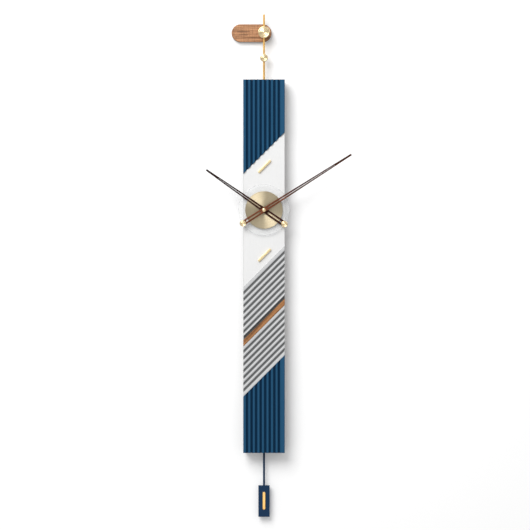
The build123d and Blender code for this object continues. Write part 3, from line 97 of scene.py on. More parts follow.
def noise(tree, place, detail=4.0, roughness=0.5, distortion=0.0):
    """Soft noise whose cells are one unit of the place it reads."""
    texture = tree.nodes.new("ShaderNodeTexNoise")
    texture.inputs["Scale"].default_value = 1.0
    texture.inputs["Detail"].default_value = detail
    texture.inputs["Roughness"].default_value = roughness
    texture.inputs["Distortion"].default_value = distortion
    tree.links.new(place, texture.inputs["Vector"])
    return texture.outputs["Fac"]


def ramp(tree, value, stops):
    """Colours or greys along a value from 0 to 1."""
    node = tree.nodes.new("ShaderNodeValToRGB")
    elements = node.color_ramp.elements
    while len(elements) < len(stops):
        elements.new(0.5)
    for element, (position, colour) in zip(elements, stops):
        shade = colour if isinstance(colour, tuple) else (colour, colour, colour)
        element.position = position
        element.color = (*shade, 1)
    tree.links.new(value, node.inputs["Fac"])
    return node.outputs["Color"]


def blended(tree, mode, amount, first, second):
    """Two colours mixed; the amount is a number or another texture's value."""
    node = tree.nodes.new("ShaderNodeMix")
    node.data_type = "RGBA"
    node.blend_type = mode
    for socket, value in ((node.inputs[0], amount), (node.inputs[6], first), (node.inputs[7], second)):
        if isinstance(value, float):
            socket.default_value = value
        elif isinstance(value, tuple):
            socket.default_value = (*value, 1)
        else:
            tree.links.new(value, socket)
    return node.outputs[2]


def reckon(tree, operation, first, second=0.0):
    """One sum of two values."""
    node = tree.nodes.new("ShaderNodeMath")
    node.operation = operation
    for socket, value in zip(node.inputs, (first, second)):
        if isinstance(value, float):
            socket.default_value = value
        else:
            tree.links.new(value, socket)
    return node.outputs["Value"]


def spread(tree, value, low, high, to_low, to_high, smooth=False):
    """A value's range carried over to another range, held at its ends."""
    node = tree.nodes.new("ShaderNodeMapRange")
    node.interpolation_type = "SMOOTHSTEP" if smooth else "LINEAR"
    tree.links.new(value, node.inputs["Value"])
    for name, number in (("From Min", low), ("From Max", high), ("To Min", to_low), ("To Max", to_high)):
        node.inputs[name].default_value = number
    return node.outputs["Result"]


def raised(tree, shader, height, depth, below=None):
    """Give the shader a relief of some metres' depth, over an earlier relief if there is one."""
    bump = tree.nodes.new("ShaderNodeBump")
    bump.inputs["Strength"].default_value = 1.0
    bump.inputs["Distance"].default_value = depth
    tree.links.new(height, bump.inputs["Height"])
    if below is not None:
        tree.links.new(below, bump.inputs["Normal"])
    tree.links.new(bump.outputs["Normal"], shader.inputs["Normal"])
    return bump.outputs["Normal"]


def walnut(name, grain_turn, light, dark, figure=1.0, band=0.0035, gloss=0.35, dark_sides_from=None):
    """Oiled walnut: growth bands, darker streaks and fine open pores along the grain; given a depth,
    everything behind it is coloured much darker.
    """
    finish, tree, shader, place = start_finish(name, 0.48)
    bands = noise(tree, stretched(tree, place, grain_turn, (0.09, band, band)), 5.0, 0.6, 0.6)
    streaks = noise(tree, stretched(tree, place, grain_turn, (0.03, 0.002, 0.35 * band)), 3.0, 0.6)
    pores = noise(tree, stretched(tree, place, grain_turn, (0.004, 0.0008, 0.00022)), 2.0, 0.7)
    chatter = noise(tree, stretched(tree, place, grain_turn, (0.0028, 0.03, 0.016)), 3.0, 0.7)
    middle = tuple((a + b) / 2 for a, b in zip(light, dark))
    wood = ramp(tree, bands, [(0.30, dark), (0.46, middle), (0.56, light), (0.74, light)])
    streak_shade = ramp(tree, streaks, [(0.38, 0.62), (0.55, 1.0)])
    pore_shade = ramp(tree, pores, [(0.34, 0.45), (0.46, 1.0)])
    wood = blended(tree, "MULTIPLY", 0.75 * figure, wood, streak_shade)
    wood = blended(tree, "MULTIPLY", 0.8, wood, pore_shade)
    wood = blended(tree, "MULTIPLY", 0.7 * figure, wood, ramp(tree, chatter, [(0.36, 0.66), (0.54, 1.0)]))
    if dark_sides_from is not None:
        depth = tree.nodes.new("ShaderNodeSeparateXYZ")
        tree.links.new(place, depth.inputs[0])
        side_darkening = spread(tree, depth.outputs["Y"], dark_sides_from, dark_sides_from + 0.0012, 1.0, 0.26, True)
        wood = blended(tree, "MULTIPLY", 1.0, wood, side_darkening)
    tree.links.new(wood, shader.inputs["Base Color"])
    tree.links.new(spread(tree, pores, 0.3, 0.7, 0.62, 0.42), shader.inputs["Roughness"])
    shader.inputs["Specular IOR Level"].default_value = gloss
    raised(tree, shader, pores, 0.00006)
    return finish


def dress(finish, *names):
    """Put one finish on CAD nodes."""
    for name in names:
        nodes[name].data.materials.clear()
        nodes[name].data.materials.append(finish)


def clear_selection():
    """Leave edit mode and let go of everything, so that a new primitive is the only thing selected."""
    if bpy.context.mode != "OBJECT":
        bpy.ops.object.mode_set(mode="OBJECT")
    bpy.ops.object.select_all(action="DESELECT")


def start_block(middle, size):
    """Take a plain block in hand, with its size baked."""
    clear_selection()
    bpy.ops.mesh.primitive_cube_add(size=1, location=middle)
    bpy.context.object.scale = size
    bpy.ops.object.transform_apply(location=False, rotation=False, scale=True)


def round_edges(offset, segments):
    """Round every edge of the piece in hand."""
    bpy.ops.object.mode_set(mode="EDIT")
    bpy.ops.mesh.select_all(action="SELECT")
    bpy.ops.mesh.bevel(offset=offset, segments=segments, affect="EDGES")


def keep_piece(name, finish, body, replaced=(), smooth_angle=30):
    """Finish the piece in hand: bake its place, name it, dress it and give it its body."""
    if bpy.context.mode != "OBJECT":
        bpy.ops.object.mode_set(mode="OBJECT")
    piece = bpy.context.object
    bpy.ops.object.transform_apply(location=True, rotation=True, scale=True)
    bpy.ops.object.shade_smooth_by_angle(angle=radians(smooth_angle))
    piece.name = name
    piece.data.name = name
    piece.data.materials.clear()
    piece.data.materials.append(finish)
    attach(piece, body)
    if replaced:
        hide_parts(*replaced)
    return piece


# The plate's sides, from just behind its face back to the wall, are coloured much darker than the face.
plate_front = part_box("wall_plate")[0][1]
dark_sides_edge = plate_front + DARK_SIDES_BELOW
plate_walnut = walnut(
    "oiled_walnut_plate", PLATE_GRAIN, PLATE_LIGHT, PLATE_DARK, 1.0, PLATE_BAND, OILED_GLOSS, dark_sides_edge
)
dress(plate_walnut, "wall_plate")

HAIRLINE_LENGTHS = (0.025, 0.018)
HAIRLINE_WIDTH = 0.0009
HAIRLINE_PROUD = 0.00008
HAIRLINE_X = -0.040
HAIRLINE_ZS = (0.0023, -0.0039)
WAX_DARK = (0.030, 0.014, 0.008)
WAX_PALE = (0.085, 0.042, 0.024)
wax, tree, shader, place = start_finish("dark_wax", 0.7)
grit = noise(tree, stretched(tree, place, 0, (0.0004, 0.0004, 0.0004)), 3.0)
tree.links.new(ramp(tree, grit, [(0.35, WAX_DARK), (0.65, WAX_PALE)]), shader.inputs["Base Color"])
raised(tree, shader, grit, 0.00003)
for number, (line_length, line_z) in enumerate(zip(HAIRLINE_LENGTHS, HAIRLINE_ZS), start=1):
    start_block((HAIRLINE_X, plate_front, line_z), (line_length, 2 * HAIRLINE_PROUD, HAIRLINE_WIDTH))
    round_edges(HAIRLINE_PROUD / 2, 2)
    keep_piece(f"plate_hairline_{number}", wax, "wall_hanger")


# --- Keyhole strip and its screws --------------------------------------------------------
# A zinc-plated steel strip let into the plate's back, held by three countersunk screws with
# cross recesses. The plating is mottled and a little scuffed round the keyholes.
SCREW_HEAD = 0.002
HEAD_LIP = 0.00012
SCREW_SHANK = 0.00105
SCREW_ROOT = 0.00085
SCREW_LONG = 0.0075
SCREW_POINT_RADIUS = 0.0001
THREAD_START = 0.0022
THREAD_PITCH = 0.0007
THREAD_TURNS = 5
RECESS_ARM = 0.0011
RECESS_DEPTH = 0.0007
RECESS_HALF_WIDTH = 0.00028
SCREW_SIDES = 24


def zinc_finish(name, tint=(0.60, 0.62, 0.64)):
    """Bright zinc plating: a spangled mottle, small scuffs and an uneven sheen."""
    finish, tree, shader, place = start_finish(name, 0.34, 1.0)
    mottle = noise(tree, stretched(tree, place, 0, (0.004, 0.004, 0.004)), 6.0, 0.65, 0.8)
    scuffs = noise(tree, stretched(tree, place, 0.5, (0.006, 0.006, 0.0003)), 4.0, 0.6)
    dull = tuple(0.62 * part for part in tint)
    tree.links.new(ramp(tree, mottle, [(0.30, dull), (0.62, tint)]), shader.inputs["Base Color"])
    tree.links.new(spread(tree, scuffs, 0.3, 0.7, 0.24, 0.5), shader.inputs["Roughness"])
    raised(tree, shader, scuffs, 0.00002)
    return finish


def select_faces(test):
    """In edit mode, select only the faces whose middle and normal pass a test."""
    bpy.ops.mesh.select_mode(type="FACE")
    bpy.ops.mesh.select_all(action="DESELECT")
    bpy.ops.object.mode_set(mode="OBJECT")
    for face in bpy.context.object.data.polygons:
        face.select = test(face.center, face.normal)
    bpy.ops.object.mode_set(mode="EDIT")


def extrude_by(x=0.0, y=0.0, z=0.0):
    """Pull the selection out by a step."""
    bpy.ops.mesh.extrude_region_move(TRANSFORM_OT_translate={"value": (x, y, z)})


def turn_profile(centre, profile, sides=96, hollow=False):
    """Turn a piece on an axis parallel to Y through a centre (x, z).

    The profile is a list of (radius, depth from the wall). A solid piece is filled at both its ends,
    and a hollow one closes on its own first ring.
    """
    clear_selection()
    x, z = centre
    radius, depth = profile[0]
    fill = "NOTHING" if hollow else "NGON"
    bpy.ops.mesh.primitive_circle_add(
        vertices=sides, radius=radius, fill_type=fill, location=(x, -depth, z), rotation=(pi / 2, 0, 0)
    )
    bpy.ops.object.transform_apply(location=True, rotation=True, scale=False)
    bpy.ops.object.mode_set(mode="EDIT")
    bpy.ops.mesh.select_all(action="SELECT")
    rings = profile[1:] + profile[:1] if hollow else profile[1:]
    for next_radius, next_depth in rings:
        extrude_by(y=depth - next_depth)
        share = next_radius / radius
        bpy.ops.transform.resize(value=(share, 1, share), center_override=(x, -next_depth, z))
        radius, depth = next_radius, next_depth
    bpy.ops.mesh.select_all(action="SELECT")
    bpy.ops.mesh.remove_doubles(threshold=0.000002)
    bpy.ops.mesh.normals_make_consistent(inside=False)


def cut_cross(piece, x, z, head_depth, arm, half_width, depth):
    """Sink a cross recess into a screw head with two crossed bars as the cutter."""
    bars = []
    for bar_size in ((2 * arm, 2 * depth, 2 * half_width), (2 * half_width, 2 * depth, 2 * arm)):
        start_block((x, -head_depth, z), bar_size)
        bars.append(bpy.context.object)
    for bar in bars:
        modifier = piece.modifiers.new("recess", "BOOLEAN")
        modifier.object = bar
        modifier.solver = "EXACT"
        clear_selection()
        piece.select_set(True)
        bpy.context.view_layer.objects.active = piece
        bpy.ops.object.modifier_apply(modifier=modifier.name)
        bpy.data.objects.remove(bar)


zinc = zinc_finish("bright_zinc")
dress(zinc, "keyhole_strip", "post_stud")
screws_low, screws_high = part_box("strip_screws")
screw_z = (screws_low[2] + screws_high[2]) / 2
screw_depth = -screws_high[1]
screw_xs = (screws_low[0] + SCREW_HEAD, (screws_low[0] + screws_high[0]) / 2, screws_high[0] - SCREW_HEAD)
thread_rings = []
for turn in range(THREAD_TURNS):
    root_depth = screw_depth + THREAD_START + turn * THREAD_PITCH
    thread_rings += [(SCREW_ROOT, root_depth), (SCREW_SHANK, root_depth + THREAD_PITCH / 2)]
for number, screw_x in enumerate(screw_xs, start=1):
    turn_profile((screw_x, screw_z), [
        (0.9 * SCREW_HEAD, screw_depth), (SCREW_HEAD, screw_depth + HEAD_LIP),
        (SCREW_SHANK, screw_depth + HEAD_LIP + SCREW_HEAD - SCREW_SHANK), *thread_rings,
        (SCREW_POINT_RADIUS, screw_depth + SCREW_LONG),
    ], SCREW_SIDES)
    screw = keep_piece(f"strip_screw_{number}", zinc, "wall_hanger", ["strip_screws"])
    cut_cross(screw, screw_x, screw_z, screw_depth, RECESS_ARM, RECESS_HALF_WIDTH, RECESS_DEPTH)


# --- Hanger post, rods and turned caps ---------------------------------------------------
# All of solid brass: a turned post on a hidden stud, drawn rods polished along their length,
# and two caps turned with rounded rings on the face, then lacquered so that they stay yellow.
BRASS = (0.90, 0.545, 0.172)
PALE_BRASS = (0.88, 0.70, 0.42)
CAP_RIM = 0.0011
CAP_GROOVES = {"post_cap": 3, "pivot_cap": 2}
CAP_CENTRE = 0.0011
CAP_STUD = 0.0025
POST_STUD_LENGTH = 0.0058
PIVOT_BORE = 0.0015
PIVOT_STUD_LENGTH = 0.0025
GROOVE_DEPTH = 0.00055
GROOVE_SHAPE = ((0.0, 0.0), (0.16, 0.0), (0.36, 0.75), (0.56, 1.0), (0.80, 0.6))


def drawn_brass(name, base=BRASS, smoothness=0.3):
    """Brass drawn through a die: long faint scratches, a little tarnish, a satin polish."""
    finish, tree, shader, place = start_finish(name, smoothness, 1.0)
    scratches = noise(tree, stretched(tree, place, 0, (0.0002, 0.0002, 0.03)), 3.0, 0.6)
    tarnish = noise(tree, stretched(tree, place, 0, (0.012, 0.012, 0.02)), 4.0, 0.6, 0.5)
    dull = (base[0] * 0.80, base[1] * 0.72, base[2] * 0.62)
    tree.links.new(ramp(tree, tarnish, [(0.32, dull), (0.60, base)]), shader.inputs["Base Color"])
    sheen = spread(tree, scratches, 0.3, 0.7, smoothness - 0.06, smoothness + 0.1)
    tree.links.new(sheen, shader.inputs["Roughness"])
    raised(tree, shader, scratches, 0.00001)
    return finish


def away_from_axis(tree, place, centre):
    """The arrow from an axis parallel to Y to the place, square to that axis."""
    from_axis = tree.nodes.new("ShaderNodeVectorMath")
    from_axis.operation = "SUBTRACT"
    from_axis.inputs[1].default_value = centre
    tree.links.new(place, from_axis.inputs[0])
    flat = tree.nodes.new("ShaderNodeVectorMath")
    flat.operation = "MULTIPLY"
    flat.inputs[1].default_value = (1, 0, 1)
    tree.links.new(from_axis.outputs["Vector"], flat.inputs[0])
    return flat.outputs["Vector"]


def distance_from_axis(tree, place, centre):
    """How far the place is from an axis parallel to Y."""
    reach = tree.nodes.new("ShaderNodeVectorMath")
    reach.operation = "LENGTH"
    tree.links.new(away_from_axis(tree, place, centre), reach.inputs[0])
    return reach.outputs["Value"]


def turned_brass(name, centre, base, dull_share, smoothness, drawn_out, ring=0.00035, relief=0.000004):
    """Brass turned on an axis parallel to Y: fine tool rings, with the sheen drawn out across them."""
    finish, tree, shader, place = start_finish(name, smoothness, 1.0)
    outwards = away_from_axis(tree, place, centre)
    ring_place = tree.nodes.new("ShaderNodeCombineXYZ")
    reach = distance_from_axis(tree, place, centre)
    tree.links.new(reckon(tree, "DIVIDE", reach, ring), ring_place.inputs["X"])
    rings = noise(tree, ring_place.outputs["Vector"], 5.0, 0.7)
    grime = noise(tree, stretched(tree, place, 0, (0.008, 0.008, 0.008)), 4.0, 0.6, 0.4)
    dull = tuple(part * dull_share for part in base)
    colour = ramp(tree, rings, [(0.30, dull), (0.58, base)])
    grime_shade = ramp(tree, grime, [(0.3, (0.84, 0.78, 0.70)), (0.6, 1.0)])
    tree.links.new(blended(tree, "MULTIPLY", 0.35, colour, grime_shade), shader.inputs["Base Color"])
    sheen = spread(tree, rings, 0.3, 0.7, smoothness + 0.08, smoothness - 0.05)
    tree.links.new(sheen, shader.inputs["Roughness"])
    shader.inputs["Anisotropic"].default_value = drawn_out
    to_world = tree.nodes.new("ShaderNodeVectorTransform")
    to_world.vector_type = "VECTOR"
    to_world.convert_from = "OBJECT"
    to_world.convert_to = "WORLD"
    tree.links.new(outwards, to_world.inputs["Vector"])
    tree.links.new(to_world.outputs["Vector"], shader.inputs["Tangent"])
    raised(tree, shader, rings, relief)
    return finish


def middle_of(node):
    """Where a turned node's axis stands: its middle in x and z."""
    low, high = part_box(node)
    return (low[0] + high[0]) / 2, (low[2] + high[2]) / 2


def grooved_face(radius, depth, grooves, groove_depth, centre_radius):
    """Rings of a turned face: round-bottomed grooves, one inside the other, with narrow lands between."""
    rings = []
    width = (radius - centre_radius) / grooves
    for groove in range(grooves):
        outer = radius - groove * width
        rings += [(outer - across * width, depth - down * groove_depth) for across, down in GROOVE_SHAPE]
    return rings + [(centre_radius, depth), (0.4 * centre_radius, depth + 0.1 * groove_depth)]


brass = drawn_brass("drawn_brass")
dress(brass, "upper_rod", "lower_rod")
dress(zinc, "pivot_pin")
post_x, post_z = middle_of("hanger_post")
dress(turned_brass("turned_hanger_post", (post_x, 0, post_z), BRASS, 0.75, 0.3, 0.5), "hanger_post")

for node, bore, stud_length in (
    ("post_cap", None, POST_STUD_LENGTH), ("pivot_cap", PIVOT_BORE, PIVOT_STUD_LENGTH)
):
    low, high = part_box(node)
    cap_x, cap_z = middle_of(node)
    radius, front, stud_end = (high[0] - low[0]) / 2, -low[1], -high[1]
    back = stud_end + stud_length
    rings = [(bore, back), (bore, stud_end)] if bore else []
    rings += [(CAP_STUD, stud_end), (CAP_STUD, back), (radius - CAP_RIM, back)]
    for share in (1, 2, 3):
        angle = share * pi / 6
        rings += [(radius - CAP_RIM * (1 - sin(angle)), back + CAP_RIM * (1 - cos(angle)))]
    for share in (0, 1, 2, 3):
        angle = share * pi / 6
        rings += [(radius - CAP_RIM * (1 - cos(angle)), front - CAP_RIM * (1 - sin(angle)))]
    rings += grooved_face(radius - 1.1 * CAP_RIM, front - 0.0001, CAP_GROOVES[node], GROOVE_DEPTH, CAP_CENTRE)
    turn_profile((cap_x, cap_z), rings)
    cap_brass = turned_brass(f"turned_{node}", (cap_x, 0, cap_z), PALE_BRASS, 0.72, 0.24, 0.6)
    keep_piece(f"turned_{node}", cap_brass, "wall_hanger", [node], 25)


# --- Backbone ----------------------------------------------------------------------------
# A long core board of dark stained fibreboard, milled from behind for the movement and the
# pendulum unit, with a drilled steel sleeve let into its top end for the lower rod.
STAIN_DARK = (0.020, 0.017, 0.015)
STAIN_LIGHT = (0.060, 0.050, 0.043)

stain, tree, shader, place = start_finish("stained_fibreboard", 0.68)
fibres = noise(tree, stretched(tree, place, 0.3, (0.0022, 0.0022, 0.0007)), 5.0, 0.7, 0.8)
fuzz = noise(tree, stretched(tree, place, 0, (0.0004, 0.0004, 0.0004)), 3.0, 0.7)
blotches = noise(tree, stretched(tree, place, 0, (0.06, 0.06, 0.1)), 4.0, 0.6)
board_colour = ramp(tree, fibres, [(0.32, STAIN_DARK), (0.70, STAIN_LIGHT)])
board_colour = blended(tree, "MULTIPLY", 0.6, board_colour, ramp(tree, blotches, [(0.3, 0.6), (0.65, 1.0)]))
tree.links.new(board_colour, shader.inputs["Base Color"])
tree.links.new(spread(tree, fibres, 0.3, 0.7, 0.6, 0.8), shader.inputs["Roughness"])
raised(tree, shader, fuzz, 0.00005, raised(tree, shader, fibres, 0.00008))
dress(stain, "backbone_board")
dress(zinc, "rod_insert")


# --- Front boards ------------------------------------------------------------------------
# Fibreboard fields glued on the backbone. The blue and grey ones are fluted by a moulding
# cutter and sprayed with satin lacquer; painted shade darkens their grooves.
FLUTE_DEPTH = 0.003
BLUE_RIDGE = (0.0165, 0.078, 0.158)
BLUE_GROOVE_SHADE = (0.0018, 0.0215, 0.0560)
GREY_RIDGE = (0.570, 0.575, 0.580)
GREY_GROOVE_SHADE = (0.155, 0.158, 0.160)
WHITE = (0.770, 0.770, 0.768)
ARRIS_HIGHLIGHT = (0.97, 0.97, 0.97)
ARRIS_HIGHLIGHT_WIDTH = 0.004
SIDE_WIDTH = 0.0004
EDGE_SHADE = 0.80
board_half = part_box("white_board")[1][0]


def sprayed(tree, shader, place, colour, grain_turn):
    """Sprayed lacquer: orange peel, raised fibre under it, thin dust and a faintly uneven gloss."""
    peel = noise(tree, stretched(tree, place, 0, (0.0016, 0.0016, 0.0016)), 3.0, 0.5)
    fibre = noise(tree, stretched(tree, place, grain_turn, (0.012, 0.0006, 0.00035)), 4.0, 0.6)
    cloud = noise(tree, stretched(tree, place, 0, (0.05, 0.05, 0.05)), 3.0, 0.6)
    colour = blended(tree, "MULTIPLY", 0.30, colour, ramp(tree, fibre, [(0.30, 0.82), (0.55, 1.0)]))
    colour = blended(tree, "MULTIPLY", 0.25, colour, ramp(tree, cloud, [(0.30, 0.90), (0.60, 1.0)]))
    tree.links.new(colour, shader.inputs["Base Color"])
    tree.links.new(spread(tree, peel, 0.3, 0.7, 0.40, 0.52), shader.inputs["Roughness"])
    raised(tree, shader, fibre, 0.000015, raised(tree, shader, peel, 0.00003))


def fluted_lacquer(name, ridge, groove, front, grain_turn):
    """Satin lacquer on a fluted board: full colour on the ridges, with painted shade darkening the grooves by
    depth.
    """
    finish, tree, shader, place = start_finish(name, 0.45)
    shader.inputs["Specular IOR Level"].default_value = 0.08
    split = tree.nodes.new("ShaderNodeSeparateXYZ")
    tree.links.new(place, split.inputs[0])
    # Painted shade: the deeper the surface lies in a groove, the darker its colour.
    shallow, deep = front + 0.08 * FLUTE_DEPTH, front + 0.86 * FLUTE_DEPTH
    groove_shading = spread(tree, split.outputs["Y"], shallow, deep, 0.0, 1.0, True)
    sideways = reckon(tree, "ABSOLUTE", split.outputs["X"])
    inboard = spread(tree, sideways, board_half - SIDE_WIDTH, board_half - SIDE_WIDTH / 2, 1.0, 0.0)
    colour = blended(tree, "MIX", reckon(tree, "MULTIPLY", groove_shading, inboard), ridge, groove)
    sprayed(tree, shader, place, colour, grain_turn)
    return finish


up_the_board = pi / 2
up_the_slant = -pi / 4
blue_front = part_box("top_blue_board")[0][1]
grey_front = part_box("upper_grey_board")[0][1]
blue = fluted_lacquer("blue_satin_lacquer", BLUE_RIDGE, BLUE_GROOVE_SHADE, blue_front, up_the_board)
grey = fluted_lacquer("grey_satin_lacquer", GREY_RIDGE, GREY_GROOVE_SHADE, grey_front, up_the_slant)
dress(blue, "top_blue_board", "bottom_blue_board")
dress(grey, "upper_grey_board", "lower_grey_board")

white, tree, shader, place = start_finish("white_satin_lacquer", 0.45)
shader.inputs["Specular IOR Level"].default_value = 0.25
split = tree.nodes.new("ShaderNodeSeparateXYZ")
tree.links.new(place, split.inputs[0])
left_edge = spread(tree, split.outputs["X"], -board_half + 0.0006, -board_half + 0.0014, EDGE_SHADE, 1.0)
# Painted highlight: a near-white band along the board's lower slanted edge, where the edge catches the light.
white_low_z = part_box("white_board")[0][2]
above_cut = reckon(tree, "SUBTRACT", split.outputs["Z"], split.outputs["X"])
cut_line = white_low_z + board_half
arris_highlight = spread(tree, above_cut, cut_line, cut_line + ARRIS_HIGHLIGHT_WIDTH, 1.0, 0.0, True)
field = blended(tree, "MIX", arris_highlight, WHITE, ARRIS_HIGHLIGHT)
sprayed(tree, shader, place, blended(tree, "MULTIPLY", 1.0, field, left_edge), up_the_board)
dress(white, "white_board")

# The strip is solid walnut, sawn along the slant and oiled, and stands lower than the grey boards.
STRIP_LIGHT = (0.52, 0.235, 0.090)
STRIP_DARK = (0.125, 0.052, 0.022)
STRIP_BAND = 0.0019
strip_walnut = walnut(
    "oiled_walnut_strip", up_the_slant, STRIP_LIGHT, STRIP_DARK, 1.0, STRIP_BAND, OILED_GLOSS
)
dress(strip_walnut, "walnut_strip")


# --- Wall bumpers ------------------------------------------------------------------------
# Four round pads of pressed wool felt, punched out and glued to the back of the backbone.
# Their faces are fuzzy and their cut edges bulge a little.
FELT_DARK = (0.018, 0.018, 0.020)
FELT_PALE = (0.10, 0.10, 0.105)
FELT_LUMP = 0.0009
PAD_RADIUS = 0.006
PAD_SWELL = 0.0002

felt, tree, shader, place = start_finish("charcoal_felt", 0.95)
shader.inputs["Sheen Weight"].default_value = 0.5
shader.inputs["Sheen Roughness"].default_value = 0.5
hairs = noise(tree, stretched(tree, place, 0.7, (0.0009, 0.0004, 0.00025)), 5.0, 0.7, 1.5)
tree.links.new(ramp(tree, hairs, [(0.3, FELT_DARK), (0.7, FELT_PALE)]), shader.inputs["Base Color"])
raised(tree, shader, hairs, 0.0002)
pads_low, pads_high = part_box("wall_bumpers")
felt_cloud = bpy.data.textures.new("felt_lumps", "CLOUDS")
felt_cloud.noise_scale = FELT_LUMP
number = 0
for pad_x in (pads_low[0] + PAD_RADIUS, pads_high[0] - PAD_RADIUS):
    for pad_z in (pads_low[2] + PAD_RADIUS, pads_high[2] - PAD_RADIUS):
        number += 1
        back, front = -pads_high[1], -pads_low[1]
        turn_profile((pad_x, pad_z), [
            (0.35 * PAD_RADIUS, back), (0.7 * PAD_RADIUS, back), (PAD_RADIUS - 0.0005, back),
            (PAD_RADIUS - 0.0001, back + 0.0004), (PAD_RADIUS - PAD_SWELL / 2, (back + front) / 2),
            (PAD_RADIUS - 0.0002, front - 0.0003), (PAD_RADIUS - 0.0005, front),
        ], 48)
        bpy.ops.mesh.subdivide(number_cuts=2)
        bpy.ops.object.mode_set(mode="OBJECT")
        lumps = bpy.context.object.modifiers.new("lumps", "DISPLACE")
        lumps.texture = felt_cloud
        lumps.texture_coords = "LOCAL"
        lumps.strength = PAD_SWELL
        bpy.ops.object.modifier_apply(modifier=lumps.name)
        keep_piece(f"felt_pad_{number}", felt, "clock_body", ["wall_bumpers"], 60)


# --- Hour markers and dial ---------------------------------------------------------------
# Two pale brass bars and a thin spun disc stand for the whole dial. The disc sits on a clear
# acrylic plate, which a wooden ring holds off the white board.
MARKER_BRASS = (0.92, 0.75, 0.44)
DIAL_BRASS = (0.570, 0.485, 0.330)
ACRYLIC_CLEAR = (0.98, 0.99, 0.99)
ACRYLIC_RIM_SHADE = (0.62, 0.64, 0.65)
ACRYLIC_VEIL = (0.16, 0.20)
RIM_SHADE_WIDTH = 0.0012
DISC_RIM = 0.0009
RIM_PROUD = 0.0003
DISC_RING = 0.0009
DISC_RELIEF = 0.000004
BUSH_LAP = 0.0002
hour_x, hour_z = middle_of("dial_disc")

marker_brass, tree, shader, place = start_finish("brushed_marker_brass", 0.34, 1.0)
brushing = noise(tree, stretched(tree, place, up_the_slant, (0.008, 0.0003, 0.0001)), 4.0, 0.6)
dull_marker = tuple(0.82 * part for part in MARKER_BRASS)
tree.links.new(ramp(tree, brushing, [(0.3, dull_marker), (0.6, MARKER_BRASS)]), shader.inputs["Base Color"])
tree.links.new(spread(tree, brushing, 0.3, 0.7, 0.28, 0.42), shader.inputs["Roughness"])
raised(tree, shader, brushing, 0.000012)
dress(marker_brass, "hour_markers")

disc_low, disc_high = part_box("dial_disc")
disc_radius = (disc_high[0] - disc_low[0]) / 2
disc_front, disc_back = -disc_low[1], -disc_high[1]
disc_hole = nodes["hour_bush"].dimensions[0] / 2 - BUSH_LAP
turn_profile((hour_x, hour_z), [
    (disc_hole, disc_back), (disc_radius - DISC_RIM / 2, disc_back), (disc_radius, disc_back + DISC_RIM / 3),
    (disc_radius, disc_front - DISC_RIM / 3), (disc_radius - DISC_RIM / 3, disc_front),
    (disc_radius - DISC_RIM, disc_front), (disc_radius - 1.3 * DISC_RIM, disc_front - RIM_PROUD),
    (0.55 * disc_radius, disc_front - 1.15 * RIM_PROUD), (disc_hole + 0.0006, disc_front - RIM_PROUD),
    (disc_hole + 0.0002, disc_front - 1.4 * RIM_PROUD), (disc_hole, disc_front - 2 * RIM_PROUD),
], 192, True)
dial_brass = turned_brass(
    "spun_dial_brass", (hour_x, 0, hour_z), DIAL_BRASS, 0.74, 0.36, 0.88, DISC_RING, DISC_RELIEF
)
keep_piece("spun_dial_disc", dial_brass, "clock_body", ["dial_disc"], 20)

acrylic, tree, shader, place = start_finish("clear_acrylic", 0.05)
shader.inputs["Specular IOR Level"].default_value = 0.3
acrylic_radius = nodes["acrylic_disc"].dimensions[0] / 2
# Painted shade: a grey, less clear ring at the disc's rim stands in for the dark outline that refraction
# gives the edge.
edge_reach = distance_from_axis(tree, place, (hour_x, 0, hour_z))
edge_start, edge_full = acrylic_radius - RIM_SHADE_WIDTH, acrylic_radius - 0.6 * RIM_SHADE_WIDTH
rim_shade = spread(tree, edge_reach, edge_start, edge_full, 0.0, 1.0, True)
fine_scratches = noise(tree, stretched(tree, place, 0.9, (0.02, 0.02, 0.0003)), 4.0, 0.7)
tree.links.new(spread(tree, fine_scratches, 0.35, 0.7, 0.03, 0.09), shader.inputs["Roughness"])
tree.links.new(blended(tree, "MIX", rim_shade, ACRYLIC_CLEAR, ACRYLIC_RIM_SHADE), shader.inputs["Base Color"])
tree.links.new(spread(tree, rim_shade, 0.0, 1.0, *ACRYLIC_VEIL), shader.inputs["Alpha"])
dress(acrylic, "acrylic_disc")

SPACER_LIGHT = (0.36, 0.23, 0.14)
SPACER_DARK = (0.17, 0.10, 0.06)
dress(walnut("turned_spacer_wood", up_the_board, SPACER_LIGHT, SPACER_DARK), "dial_spacer")


# --- Quartz movement and pendulum unit ---------------------------------------------------
# Both are moulded black plastic boxes in the backbone's pockets, each with a cell across it,
# a cover over the works and sprung contacts. The covers carry moulded grip ribs.
RIB_PITCH = 0.0022
RIB_WIDTH = 0.0009
RIB_HEIGHT = 0.0003
RIB_COUNT = 9
RIB_LENGTH = 0.009
WIRE_RADIUS = 0.00028
SPRING_TURNS = 2.25
STEPS_PER_TURN = 20
ACETAL = (0.78, 0.78, 0.74)
COPPER = (0.62, 0.24, 0.08)
COIL_WIRE = 0.0011
CASE_BLACK = (0.022, 0.022, 0.024)
RESIST = (0.012, 0.085, 0.035, 1)
RESIST_SHADE = (0.010, 0.065, 0.028, 1)
TRACK_LINE = (0.030, 0.155, 0.060, 1)
TRACK_CELL = 0.002


